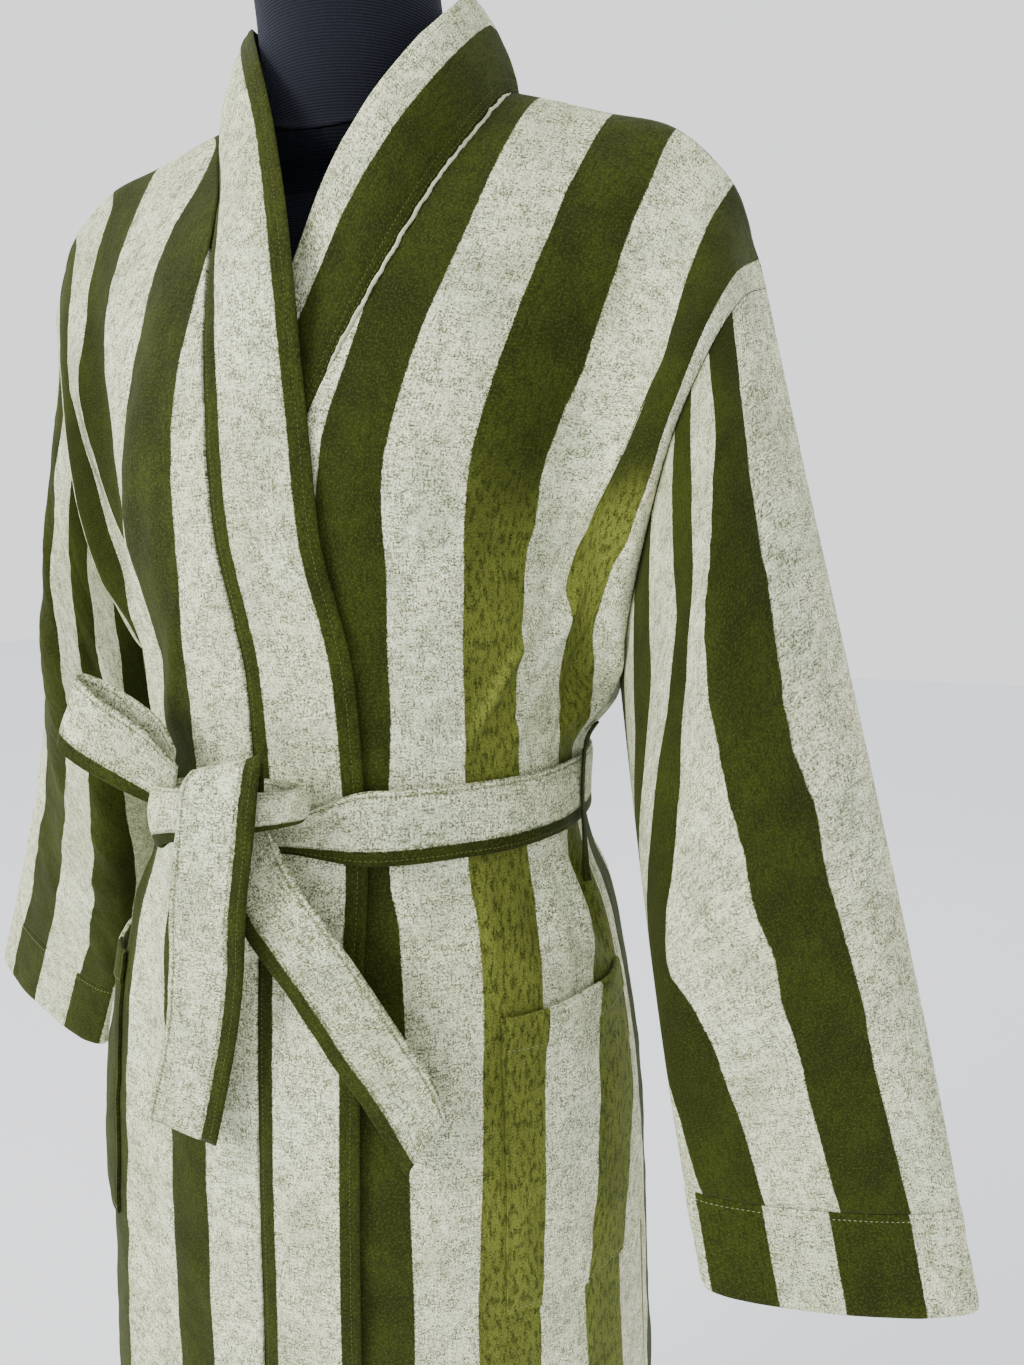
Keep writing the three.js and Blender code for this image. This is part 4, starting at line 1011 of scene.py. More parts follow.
# %% Collar lines
COLLAR_EDGE = {
    "left": Table(
        "z x y rise roll",
        (1156, -25, -139, 0, 0), (1195, -18, -137, 2, 0), (1230, -6, -129, 10, 1), (1290, 13, -96, 54, 3),
        (1346, 39, -83, 52, 5), (1395, 65, -60, 46, 6), (1430, 76, -6, 56, 5),
    ),
    "right": Table(
        "z x y rise roll",
        (1156, 41, -139, 0, 0), (1195, 32, -137, 1, 0), (1230, 26, -132, 4, 1), (1290, 14, -117, 26, 3),
        (1346, -10, -88, 38, 5), (1395, -38, -62, 48, 6), (1430, -76, -6, 56, 5),
    ),
}
COLLAR_BLEND_START, COLLAR_BLEND_END = 1170, 1290
COLLAR_BACK = {"x": 76, "side_y": -6, "y": 62, "z": 1486, "drop": 5, "roll": 5}
NECK_STEPS = 5
print("the collar stands", float(COLLAR_EDGE["left"].read("rise", NECK_Z)), "mm above the neck point")

# %% Places on the band


def band_point(side, fraction, level):
    """Fraction goes from the seam (0) to the free edge (1). Low down the band lies on the front's
    own surface. Higher it is a straight line from its seam to the collar line, swollen by the roll."""
    z = level.neck_z
    seam_at = BAND_SEAM.read(hand(side), z) - SEAM_GAP / 2
    low = body_point("front", side, seam_at - BAND_WIDTH * fraction, level, fine=0.4)
    seam = body_point("front", side, seam_at, level, fine=0.4)
    line = COLLAR_EDGE[hand(side)]
    edge = points(line.read("x", z), line.read("y", z), z + line.read("rise", z))
    roll = line.read("roll", z) * 4 * fraction * (1 - fraction)
    high = mix(seam, edge, fraction[..., None])
    lift = LAP_LIFT * ease((LAP_TOP - z) / LAP_FADE) if side < 0 else 0
    high[..., 1] -= lift * fraction
    high = high + unit(np.array([side * 0.6, -0.8, 0.1])) * roll[..., None]
    upper = ease((z - COLLAR_BLEND_START) / (COLLAR_BLEND_END - COLLAR_BLEND_START))
    return mix(low, high, upper[..., None])


def collar_back_point(side, fraction, step):
    """The collar behind the neck, from the neck point to the centre back. Step goes from 5 to 0."""
    turn = math.pi / 2 * step / NECK_STEPS
    seam = ridge_point("back", side, HALF_NECK * np.sin(turn))
    seam[..., 1] -= SEAM_GAP / 2
    ahead = np.cos(turn)
    edge = points(
        side * COLLAR_BACK["x"] * np.sin(turn),
        mix(COLLAR_BACK["side_y"], COLLAR_BACK["y"], ahead),
        COLLAR_BACK["z"] - COLLAR_BACK["drop"] * ahead,
    )
    away = unit(points(side * 0.8 * (1 - ahead), 0.9 * ahead, 0.001))
    roll = COLLAR_BACK["roll"] * 4 * fraction * (1 - fraction)
    return mix(seam, edge, fraction[..., None]) + away * roll[..., None]


print("top of the collar behind:", collar_back_point(1, np.array([1.0]), np.array([0.0])).round(1))

# %% Doubled cloth


def pillow(share, thickness, low_end=True, high_end=True):
    """A doubled strip's thickness across it, round at a folded edge: it falls off as the square
    root of 1 - off^14, where off goes from -1 to 1 over the share from 0 to 1."""
    off = np.clip(2 * share - 1, -1, 1)
    off = np.where((off < 0) & (not low_end), 0, off)
    off = np.where((off > 0) & (not high_end), 0, off)
    return thickness * np.sqrt(np.clip(1 - np.abs(off) ** 14, 0.02, 1))


def puffed_wall(name, grid, uv, thickness, relief, around=False):
    """A wall of changing thickness: both faces move towards the middle where it gets thinner, and
    the outer face is pressed in or puffed out by the relief."""
    normals = surface_normals(grid, around)
    full = thickness.max()
    outer = grid - normals * ((full - thickness) / 2)[..., None] + normals * relief[..., None]
    inner = grid - normals * ((full + thickness) / 2)[..., None]
    return cloth_wall(name, outer, uv, inner_grid=inner, around=around)


print("thickness at a fold and inside:", pillow(np.array([0, 0.5]), DOUBLED_CLOTH).round(2))

# %% Make the neckband
# Rows of stitches press grooves into the band, at these distances from its seam.
BAND_LINES = {1: (3.2, 8.2, 60.5), -1: (3.2, 60.5)}
STITCH_GROOVE = 1.1


def neckband(side, columns=34):
    """The band from the centre back over the neck point and down to the hem."""
    share = eased_steps(columns)
    steps = np.linspace(0, NECK_STEPS, 40)[:-1]
    fraction = np.broadcast_to(share, (len(steps), columns + 1))
    behind = collar_back_point(side, fraction, steps[:, None] + 0 * fraction)
    behind[0, :, 0] = side * SEAM_GAP / 2
    down = Level(
        DOWN.drop + 0 * share[None, :], DOWN.z + 0 * share[None, :], DOWN.hole + 0 * share[None, :]
    )
    below = band_point(side, np.broadcast_to(share, down.z.shape), down)
    grid = np.concatenate([behind, below])
    uv = cloth_uv(share[None, :] * BAND_WIDTH, run_along(grid[:, 0])[:, None])
    from_seam = uv[..., 0]
    puff = ease(from_seam / 14) * ease((BAND_WIDTH - from_seam) / 10)
    relief = -1.3 * bell(from_seam, 2.0) + 0.5 * puff
    for line in BAND_LINES[side]:
        relief = relief - 0.55 * bell(from_seam - line, STITCH_GROOVE)
    relief = relief + 0.35 * ripple(from_seam, uv[..., 1], 31 + side, 60, 10)
    thickness = pillow(share, DOUBLED_CLOTH, low_end=False) + 0 * from_seam
    if side < 0:
        grid, uv, thickness, relief = (a[:, ::-1] for a in (grid, uv, thickness, relief))
    return puffed_wall(f"robe_neckband_{hand(side)}", grid, uv, thickness, relief)


band_velvet = {
    1: velvet("neckband_velvet_left", [(-3, 41), (90, 95)]),
    -1: velvet("neckband_velvet_right", [(-3, 11), (54, 70)]),
}
bands = {side: neckband(side) for side in (1, -1)}
for side, made in bands.items():
    declare_cloth(made, f"neckband_{hand(side)}", (0.066, 1.42), ["form_torso"], band_velvet[side])

# %% [markdown]
# ## Sleeves and cuffs
# A sleeve is a wide straight tube, folded flat along its outer edge, that leaves the armhole seam
# and ends in a doubled cuff. Each line down the sleeve is a cubic curve with a set direction at
# the armhole and at the cuff. The stripes run parallel to the outer fold, so their measure is the
# distance round the sleeve from that fold, summed over each ring.

# %% Sleeve measures
SLEEVES = {
    1: {
        "cuff": (328, -74, 721), "axis": (0.22, -0.11, -0.969), "inward": (-0.978, -0.206, 0),
        "half_width": 79, "half_depth": 17,
        "shoulder_leave": (0.242, -0.107, -0.965), "underarm_leave": (0.16, -0.15, -0.976),
        "shoulder_pull": 590, "underarm_pull": 300,
    },
    -1: {
        "cuff": (-336, 35, 753), "axis": (-0.38, 0.08, -0.922), "inward": (0.914, -0.312, -0.26),
        "half_width": 79, "half_depth": 18,
        "shoulder_leave": (0.05, 0.04, -0.998), "underarm_leave": (-0.3, 0.04, -0.953),
        "shoulder_pull": 540, "underarm_pull": 280,
    },
}
CUFF_DEPTH, CUFF_EASE, SLEEVE_BULGE = 60, 0.6, 0.3
SLEEVE_FOLDS = [
    (0.3, 0.28, 0.36, 0.06, -10), (0.36, 0.32, 0.24, 0.05, 7), (0.62, 0.3, 0.31, 0.05, -4),
    (0.28, 0.26, 0.66, 0.06, -9), (0.5, 0.34, 0.78, 0.06, 6),
]
SLEEVE_CREASES = [
    (0.12, 0.12, 0.2, 0.03, 2.2), (0.2, 0.16, 0.3, 0.025, -2.4), (0.1, 0.1, 0.4, 0.03, -2.2),
    (0.5, 0.2, 0.4, 0.025, 2.0), (0.7, 0.2, 0.22, 0.03, -1.6), (0.85, 0.14, 0.14, 0.03, 1.4),
    (0.45, 0.2, 0.12, 0.03, 1.3), (0.2, 0.15, 0.7, 0.03, 2.4), (0.4, 0.2, 0.62, 0.03, -2.2),
    (0.65, 0.2, 0.8, 0.03, 2.0), (0.8, 0.15, 0.68, 0.03, -1.8),
]
SLEEVE_LENGTH, SLEEVE_ROUND, SLEEVE_RIPPLE = 580, 330, 1.7
print("folds of a sleeve:", len(SLEEVE_FOLDS), "creases:", len(SLEEVE_CREASES))

# %% The rings at the cuff and at the armhole
ARMHOLE_ROWS = np.array([0, 0.04, 0.12, 0.24, 0.38, 0.54, 0.7, 0.85, 1]) * DROP_TO_ARMHOLE
UNDERARM_ROWS = lower_hole(np.array([1125, 1093, UNDERARM_Z]))


def sleeve_front(measures):
    """The level direction across a sleeve's front face, pointing forwards."""
    forward = np.cross([0, 0, 1], measures["inward"])
    forward = forward / np.linalg.norm(forward)
    return -forward if forward[1] > 0 else forward


def cuff_point(measures, turn, down, spread):
    """A flattened ring square to nothing but its own two directions: minus the cosine of the angle
    times the half width inwards, and the sine to the power 0.8 times the half depth forwards."""
    angle = 2 * math.pi * turn
    flat, deep = -np.cos(angle), np.sin(angle)
    forward = np.sign(deep) * np.abs(deep) ** 0.8
    wide, thick = measures["half_width"] + spread, measures["half_depth"] + spread
    return (
        np.array(measures["cuff"])
        + np.array(measures["axis"]) * np.asarray(down)[..., None]
        + np.array(measures["inward"]) * (wide * flat)[..., None]
        + sleeve_front(measures) * (thick * forward)[..., None]
    )


def armhole_place(side, turn):
    """The armhole seam: the front's edge for the first half turn and the back's for the second."""
    holes = np.concatenate([ARMHOLE_ROWS, UNDERARM_ROWS])
    row = np.where(turn <= 0.5, turn, 1 - turn) * 2 * (len(holes) - 1)
    hole = np.interp(row, np.arange(len(holes)), holes)
    armhole = ARMHOLES[hand(side)]
    y = np.where(turn <= 0.5, armhole.read("front", hole), armhole.read("back", hole))
    return points(side * armhole.read("x", hole), y, armhole.read("z", hole))


print("foot of the left armhole:", armhole_place(1, np.array([0.5])).round(1))

# %% Lines down a sleeve


def sleeve_fold(table, turn, along):
    """The same sum as for the body's folds, with shares of the turn and of the length. A row holds
    its place and half length along the sleeve, its place and width round it, and its depth."""
    total = 0
    for at, length, around, width, depth in table:
        run = np.clip((along - at) / length, -1, 1)
        off = (turn - around) / width
        total = total + depth * np.exp(-off * off) * (1 - run * run) ** 2
    return total


def sleeve_point(side, turn, along):
    """A cubic from the armhole to the cuff: position and pull at the start, position and pull at
    the end, with the usual four blending polynomials of a Hermite curve."""
    measures = SLEEVES[side]
    under = (1 - np.cos(2 * math.pi * turn)) / 2
    sideways = np.sin(2 * math.pi * turn)
    leave = mix(
        np.array(measures["shoulder_leave"]), np.array(measures["underarm_leave"]), under[..., None]
    )
    leave[..., 1] -= SLEEVE_BULGE * sideways
    leave = unit(leave)
    end = cuff_point(measures, turn, -CUFF_DEPTH - SEAM_GAP, 0)
    first = armhole_place(side, turn) + leave * 0.5
    pull = mix(measures["shoulder_pull"], measures["underarm_pull"], under)
    rest = 1 - along
    fold = sleeve_fold(SLEEVE_FOLDS, turn, along) + sleeve_fold(SLEEVE_CREASES, turn, along)
    steady = ease(along / 0.08) * ease(rest / 0.06)
    fold = fold + SLEEVE_RIPPLE * ripple(turn * SLEEVE_ROUND, along * SLEEVE_LENGTH, 50 + side) * steady
    fold = fold * np.abs(sideways) ** 0.5 * np.sign(sideways)
    return (
        first * ((1 + 2 * along) * rest * rest)[..., None]
        + leave * (pull * along * rest * rest)[..., None]
        + end * (along * along * (3 - 2 * along))[..., None]
        - np.array(measures["axis"]) * (pull * along * along * rest)[..., None]
        + sleeve_front(measures) * fold[..., None]
    )


halfway = sleeve_point(1, np.array([0.0]), np.array([0.5]))
print("outer fold of the left sleeve, halfway:", halfway.round(1))

# %% Stripe places on the sleeves
SLEEVE_STRIPES = {
    1: Table(
        "along e0 e46 e92 e138 e184",
        (0, 0, 60, 90, 112, 135), (0.07, 0, 70, 98, 125, 150), (0.13, 0, 77, 110, 132, 156),
        (0.19, 0, 80, 122, 139, 160), (0.26, 0, 81, 135, 154, 180), (0.32, 0, 82, 137, 168, 205),
        (0.45, 0, 79, 126, 178, 228), (0.52, 0, 68, 116, 184, 228), (0.59, 0, 63, 109, 178, 230),
        (0.66, 0, 56, 98, 157, 222), (0.73, 0, 49, 93, 140, 195), (0.8, 0, 46, 86, 131, 171),
        (0.87, 0, 42, 82, 123, 160), (1, 0, 36, 76, 118, 154),
    ),
    -1: Table(
        "along e0 e46 e92 e138 e184",
        (0, 0, 50, 96, 142, 188), (0.39, 0, 75, 135, 165, 208), (0.46, 0, 66, 124, 155, 204),
        (0.58, 0, 58, 108, 145, 194), (0.7, 0, 55, 95, 138, 180), (0.79, 0, 48, 89, 136, 171),
        (1, 0, 40, 82, 130, 164),
    ),
}
CUFF_STRIPES = {1: (0, 38, 84, 121, 160), -1: (0, 40, 84, 128, 166)}
print("the second edge at the left cuff:", float(SLEEVE_STRIPES[1].read("e46", 1)), "mm from the fold")

# %% Make the sleeves and cuffs
CUFF_LINE = 4


def round_uv(grid, down, edges):
    """The distance round each ring from its first column, the short way, and then the cloth's own
    measure at that distance."""
    closed = np.concatenate([grid, grid[:, :1]], 1)
    steps = np.linalg.norm(np.diff(closed, axis=1), axis=-1)
    run = np.concatenate([np.zeros((len(grid), 1)), np.cumsum(steps, 1)], 1)
    half = (closed.shape[1] - 1) // 2
    run = np.where(np.arange(closed.shape[1]) <= half, run, run[:, -1:] - run)
    return cloth_uv(stretched(run, edges, STRIPE_START - STRIPE), down[:, :1])


def make_sleeve(side, around=112, rows=150):
    """Rings from the armhole to the cuff's seam, closer together at the armhole."""
    turn = ring_turns(around, rows)
    along = np.linspace(0, 1, rows + 1)[:, None] ** 1.1 + 0 * turn
    grid = sleeve_point(side, turn, along)
    if side < 0:
        grid = np.roll(grid[:, ::-1], 1, 1)
    table = SLEEVE_STRIPES[side]
    edges = [table.read(name, along[:, :1]) for name in table.columns[1:]]
    uv = round_uv(grid, along * SLEEVE_LENGTH, edges)
    piece = cloth_wall(f"robe_sleeve_{hand(side)}", grid, uv, CLOTH, around=True)
    declare_cloth(piece, f"sleeve_{hand(side)}", (0.56, 0.6), ["form_torso"], striped)


def make_cuff(side, around=112, rows=26):
    """A doubled ring, pressed in at its seam and at its row of stitches."""
    turn = ring_turns(around, rows)
    share = eased_steps(rows)[:, None] + 0 * turn
    down = mix(-CUFF_DEPTH, 0, share)
    grid = cuff_point(SLEEVES[side], turn, down, CUFF_EASE)
    if side < 0:
        grid = np.roll(grid[:, ::-1], 1, 1)
    from_seam = down + CUFF_DEPTH
    uv = round_uv(grid, from_seam, CUFF_STRIPES[side])
    relief = -0.8 * bell(from_seam, 1.6) - 0.5 * bell(from_seam - CUFF_LINE, STITCH_GROOVE)
    relief = relief + 0.5 * ripple(turn * SLEEVE_ROUND, from_seam, 70 + side, 50, 10)
    thickness = pillow(share, DOUBLED_CLOTH, low_end=False)
    piece = puffed_wall(f"robe_cuff_{hand(side)}", grid, uv, thickness, relief, around=True)
    declare_cloth(piece, f"cuff_{hand(side)}", (0.34, 0.06), [f"robe_sleeve_{hand(side)}"], striped)


for make in (make_sleeve, make_cuff):
    for side in (1, -1):
        make(side)

# %% [markdown]
# ## Pockets and belt loops
# A patch pocket is a rectangle of the same cloth, sewn on near the side with its top edge turned
# down. It lies on the front, so its points are the front's own, moved out.

# %% Pockets
POCKET_NEAR, POCKET_FAR, POCKET_TOP, POCKET_BOTTOM, POCKET_LIFT = 172, 310, 878, 690, 2.7
POCKET_HEM, POCKET_LINE = 20, 3


def below_armhole(z):
    """Levels of the hanging cloth, well beyond the armhole's foot."""
    return Level(np.ones_like(z), z, np.full_like(z, 2.0))


def make_pocket(side, columns=58, rows=72):
    """The front's own surface, moved out. The turned top edge is thicker and gapes a little."""
    across = mix(POCKET_NEAR, POCKET_FAR, eased_steps(columns))[None, :]
    z = mix(POCKET_TOP, POCKET_BOTTOM, eased_steps(rows))[:, None]
    across, z = np.broadcast_arrays(across, z)
    grid = body_point("front", side, across, below_armhole(z))
    from_top, from_bottom = POCKET_TOP - z, z - POCKET_BOTTOM
    from_side = np.minimum(across - POCKET_NEAR, POCKET_FAR - across)
    edge = np.minimum(from_side, from_bottom)
    relief = 0.9 * ease(edge / 14) + 1.1 * ease(from_top / 2) * (1 - ease((from_top - POCKET_HEM) / 3))
    relief = relief - 0.6 * bell(edge - POCKET_LINE, STITCH_GROOVE)
    relief = relief + 2.2 * bell(from_top, 26) * ease(from_side / 30)
    grid = grid + outward(grid) * (POCKET_LIFT + relief)[..., None]
    uv = cloth_uv(stripe_place(side, across, z), NECK_Z - z)
    if side > 0:
        grid, uv = grid[:, ::-1], uv[:, ::-1]
    piece = cloth_wall(f"robe_pocket_{hand(side)}", grid, uv, CLOTH)
    front = f"robe_front_{hand(side)}"
    declare_cloth(piece, f"pocket_{hand(side)}", (0.139, 0.19), [front], front_velvet[side])


for side in (1, -1):
    make_pocket(side)

# %% Belt loops
LOOP_ACROSS, LOOP_HALF, LOOP_THICK, LOOP_REST = 297, 4, 1.5, 0.9
LOOP_TOP, LOOP_BOTTOM, LOOP_ROOM = 1040, 932, 0.6
BELT_WIDTH, BELT_EASE = 45, 1.9
LOOP_LIFT = Table(
    "z lift",
    (1040, 0.3), (1032, 0.5), (1024, 1), (1008, 1), (982, 1), (965, 1), (950, 0.8), (940, 0.5), (932, 0.3),
)


def make_belt_loop(side, columns=10, rows=60):
    """A narrow strip down the front's surface, lifted over the belt by the table's share."""
    share = np.linspace(-1, 1, columns + 1)[None, :]
    z = np.linspace(LOOP_TOP, LOOP_BOTTOM, rows + 1)[:, None] + 0 * share
    across = LOOP_ACROSS + LOOP_HALF * share + 0 * z
    grid = body_point("front", side, across, below_armhole(z))
    over = (DOUBLED_CLOTH + BELT_EASE + LOOP_ROOM - LOOP_REST / 2) * LOOP_LIFT.read("lift", z)
    grid = grid + outward(grid) * (LOOP_THICK + LOOP_REST + over)[..., None]
    uv = cloth_uv(across - LOOP_ACROSS, LOOP_TOP - z)
    if side > 0:
        grid, uv = grid[:, ::-1], uv[:, ::-1]
    thickness = pillow((share + 1) / 2 + 0 * z, LOOP_THICK)
    piece = puffed_wall(f"robe_belt_loop_{hand(side)}", grid, uv, thickness, 0 * z)
    front = f"robe_front_{hand(side)}"
    declare_cloth(piece, f"belt_loop_{hand(side)}", (0.01, 0.112), [front], loop_velvet)


loop_velvet = velvet("belt_loop_velvet", [(-20, 20)])
for side in (1, -1):
    make_belt_loop(side)

# %% [markdown]
# ## The tied belt
# The belt is a strip folded double, 45 mm wide, with an olive border along one edge. It runs round
# the waist and is tied in front with one loop and two hanging ends. Each visible run is a strap
# along a smooth centre line, with the way its width points set at every row of a short table.

# %% The run round the waist
BELT_OVER_LAP = {"right": -125, "left": 105, "run": 42}
BELT_ROUND = 820
# The belt is drawn together at the knot. A row says to what share of its width, at what distance
# from the middle it starts to widen again, and over what length.
PINCH_LEFT, PINCH_RIGHT = (0.52, 8, 55), (0.55, 55, 40)
# Distances from the belt's upper edge: the stitches, the groove of the olive border and its stitches.
BELT_LINE, BELT_BORDER, BORDER_LINE = 3.4, 35.5, 41.4


def belt_ring_point(part, z):
    """Round the waist by quarters, a little outside the cloth and over the step of the lap."""
    quarter_turn = np.clip(np.floor(part * 4).astype(int), 0, 3)
    inside = part * 4 - quarter_turn
    made = np.zeros((*np.shape(part), 3))
    for number, (panel, side) in enumerate([("front", 1), ("back", 1), ("back", -1), ("front", -1)]):
        share = inside if (panel == "front") == (side > 0) else 1 - inside
        half, depth = SECTIONS.read(hand(side), BELT_Z), SECTIONS.read(panel, BELT_Z)
        quarter = (math.pi / 2) * ((half + depth) / 2) * (1 + SQUARENESS / 2)
        place = ring_point(panel, side, share * quarter, np.full_like(share, BELT_Z))
        over = ease((place[..., 0] - BELT_OVER_LAP["right"]) / BELT_OVER_LAP["run"])
        over = over * ease((BELT_OVER_LAP["left"] - place[..., 0]) / BELT_OVER_LAP["run"])
        lift = LAP_LIFT * over if panel == "front" else 0
        off = DOUBLED_CLOTH + BELT_EASE + lift
        moved = place + outward(place) * (off + 0 * share)[..., None]
        made = np.where((quarter_turn == number)[..., None], moved, made)
    made[..., 2] = z
    return made


def pinch_at(distance, rule):
    """The share of its width that the belt has at a distance from the middle."""
    narrow, start, length = rule
    return mix(narrow, 1, ease((distance - start) / length))


def make_belt_ring(around=300, rows=22):
    """A doubled ring that rises and falls a little and is crumpled where it is drawn together."""
    part = ring_turns(around, rows)[:, ::-1]
    share = eased_steps(rows)[:, None] + 0 * part
    run = part * BELT_ROUND
    x = belt_ring_point(part, 0 * part)[..., 0]
    front = (part < 0.2) | (part > 0.8)
    near = np.where(x > -20, pinch_at(x, PINCH_LEFT), pinch_at(-x, PINCH_RIGHT))
    pinch = np.where(front, near, 1)
    tight = 1 - pinch
    z = BELT_Z + BELT_WIDTH * (0.5 - share) * pinch + 1.6 * np.sin(run / 60) - 9 * tight
    grid = belt_ring_point(part, z)
    relief = 0.7 * ripple(run, share * BELT_WIDTH, 91, 70, 12) + 3.5 * tight * np.sin(share * 11 + 0.6)
    relief = relief - 0.55 * bell(share * BELT_WIDTH - BELT_LINE, STITCH_GROOVE)
    relief = relief - 0.8 * bell(share * BELT_WIDTH - BELT_BORDER, 1.4)
    uv = closed_uv(share, run, BELT_ROUND)
    return puffed_wall("belt_round_waist", grid, uv, pillow(share, DOUBLED_CLOTH), relief, around=True)


def closed_uv(share, run, length):
    """Measures of a strip that goes all round, with one more column after the last one."""
    closed = np.concatenate([run, run[:, :1] - length], 1)
    return cloth_uv(np.concatenate([share, share[:, :1]], 1) * BELT_WIDTH, closed)


# The belt and its front end: painted shade greys their pale a little and darkens the grooves at the upper
# edge and along the stitch lines.
border = {"bands": [(BELT_BORDER, 60)], "shade": 0.03, "grooves": (0, BELT_LINE, 34.6)}
belt_velvet = velvet("belt_velvet", **border)
declare_cloth(
    make_belt_ring(), "belt_waist", (0.045, 0.83), ["robe_front_right", "robe_back"], belt_velvet
)

# %% Straps along a centre line
STRAP_ROWS, STRAP_COLUMNS, STRAP_THICK, STRAP_END = 160, 24, 3.4, 3


def strap(name, rows_table, flat, node, material, rests_on, seed, flipped=False):
    """A flat strip: the centre line and the way of its width are cubic curves through a table's
    rows, and its faces are half its thickness off that line. It is round along its edges and ends.
    A row holds the middle's place, the direction of the width and the width."""
    numbered = [(number, *row) for number, row in enumerate(rows_table)]
    table = Table("at x y z wide_x wide_y wide_z width", *numbered)
    at = np.linspace(0, len(rows_table) - 1, STRAP_ROWS + 1)
    centre = np.stack([table.read(k, at) for k in "xyz"], -1)
    wide = unit(np.stack([table.read(f"wide_{k}", at) for k in "xyz"], -1))
    share = eased_steps(STRAP_COLUMNS)
    width = table.read("width", at)[:, None]
    grid = centre[:, None] + wide[:, None] * (width * (share - 0.5)[None, :])[..., None]
    run = run_along(centre)
    uv = cloth_uv(share[None, :] * BELT_WIDTH, run[:, None])
    relief = 0.6 * ripple(uv[..., 0], uv[..., 1], seed, 60, 9)
    relief = relief - 0.5 * bell(uv[..., 0] - BELT_LINE, STITCH_GROOVE)
    relief = relief - 0.6 * bell(uv[..., 0] - BELT_BORDER, 1.3)
    if flipped:
        grid, uv, relief = (a[:, ::-1] for a in (grid, uv, relief))
    grid = grid + surface_normals(grid, False) * STRAP_THICK / 2
    near_end = np.clip(np.minimum(run, run[-1] - run)[:, None] / STRAP_END, 0, 1)
    thin = pillow(share, 1.0)[None, :] * np.sqrt(np.clip(1 - (1 - near_end) ** 4, 0.03, 1))
    piece = puffed_wall(name, grid, uv, thin * STRAP_THICK, relief)
    declare_cloth(piece, node, flat, rests_on, material)


# %% The two ends and the bow's loop
tail_velvet = velvet("belt_end_velvet", **border)
strap(
    "belt_end_front",
    [
        (-13, -158, 1018, 1, 0, 0.1, 40), (-11, -163, 1030, 1, 0, 0.16, 44),
        (-9, -169, 1037, 1, 0, 0.24, 47), (-7, -176, 1035, 1, 0, 0.2, 49),
        (-8, -180, 1024, 1, 0, 0.1, 50), (-11, -181, 1000, 1, 0.03, 0.03, 49),
        (-20, -178, 957, 1, 0.04, 0.02, 49), (-27, -173, 912, 1, 0.02, 0.02, 49),
        (-36, -170, 868, 0.99, 0, 0.06, 49), (-53, -169, 806, 0.97, 0, -0.18, 49),
    ],
    (0.05, 0.26), "tail_front", tail_velvet, ["robe_neckband_right"], seed=15, flipped=True,
)
# The side end is the bow's velvet with more painted shade on its pale parts, because it hangs in shade.
shaded_side_velvet = velvet("belt_side_end_velvet", [(-5, 9.5)], shade=0.13, grooves=(10.4, 41.6, 45))
strap(
    "belt_end_side",
    [
        (-10, -159, 1004, 0.8, 0, 0.6, 34), (6, -162, 960, 0.84, 0.02, 0.54, 48),
        (41, -160, 912, 0.84, 0.03, 0.54, 49), (66, -156, 873, 0.85, 0.05, 0.52, 49),
        (84, -151.5, 844, 0.78, 0.06, 0.6, 48), (98, -147, 814, 0.52, 0.06, 0.85, 48),
    ],
    (0.05, 0.21), "tail_side", shaded_side_velvet, ["robe_front_left"], seed=25, flipped=True,
)
bow_velvet = velvet("bow_velvet", [(-5, 9.5)], grooves=(10.4, 41.6, 45))
strap(
    "belt_bow_loop",
    [
        (-52, -158, 1016, 0.2, 0, 0.98, 30), (-61, -161, 1023, 0.3, 0, 0.95, 34),
        (-74, -166, 1034, 0.42, 0, 0.91, 41), (-100, -168, 1048, 0.4, 0, 0.92, 45),
        (-117, -165, 1057, 0.4, 0, 0.92, 46), (-122, -159, 1060, 0.4, 0, 0.92, 46),
        (-117, -154, 1058, 0.4, 0, 0.92, 46), (-100, -153, 1052, 0.4, 0, 0.92, 45),
        (-74, -152, 1040, 0.42, 0, 0.91, 38), (-56, -154, 1024, 0.2, 0, 0.98, 30),
    ],
    (0.046, 0.17), "bow_loop", bow_velvet, ["belt_knot_wrap"], seed=35,
)

# %% The knot
# The belt wraps once round the crossing. It shows as a flattened ring, tall and open at one side
# and rolled tight at the other, with the front end hanging over it.
KNOT = Table(
    "turn height middle",
    (-0.01, 38, 999), (0.25, 28, 1008), (0.5, 16, 1014), (0.75, 26, 1009), (1.01, 38, 999),
)
KNOT_X, KNOT_Y, KNOT_HALF, KNOT_DEPTH, KNOT_THICK, KNOT_ROUND = -18, -157, 43, 12.5, 5.0, 250


def make_knot(columns=120, rows=26):
    """A flattened ring whose height and level change round it, and which bulges a little halfway up."""
    turn = ring_turns(columns, rows)[:, ::-1]
    share = eased_steps(rows)[:, None] + 0 * turn
    angle = 2 * math.pi * turn
    bulge = np.sin(math.pi * share)
    grid = points(
        KNOT_X - KNOT_HALF * np.cos(angle) * (1 + 0.1 * bulge),
        KNOT_Y + KNOT_DEPTH * np.sin(angle) * (1 + 0.18 * bulge),
        KNOT.read("middle", turn) + KNOT.read("height", turn) * (0.5 - share),
    )
    run = turn * KNOT_ROUND
    relief = 1.1 * ripple(run, share * 40, 41, 40, 8) + 0.6 * np.sin(share * 14 + angle * 2)
    uv = closed_uv(share, run, KNOT_ROUND)
    piece = puffed_wall("belt_knot_wrap", grid, uv, pillow(share, KNOT_THICK), relief, around=True)
    declare_cloth(piece, "belt_knot", (0.047, 0.27), ["belt_round_waist"], belt_velvet)


make_knot()

# %% [markdown]
# ## Sewing
# A row of stitches shows as small raised grains of thread in a pressed groove. The grooves are in
# the walls already. The thread is real geometry too, because a pattern in a material would have no
# height: each stitch is a grain with eight faces, and all the stitches of a piece are one mesh.

# %% Lines on a piece


def between(array, place, axis):
    """The rows or columns of a grid read at a place between two of them."""
    low = int(min(place, array.shape[axis] - 2))
    a, b = np.take(array, low, axis), np.take(array, low + 1, axis)
    return mix(a, b, place - low)


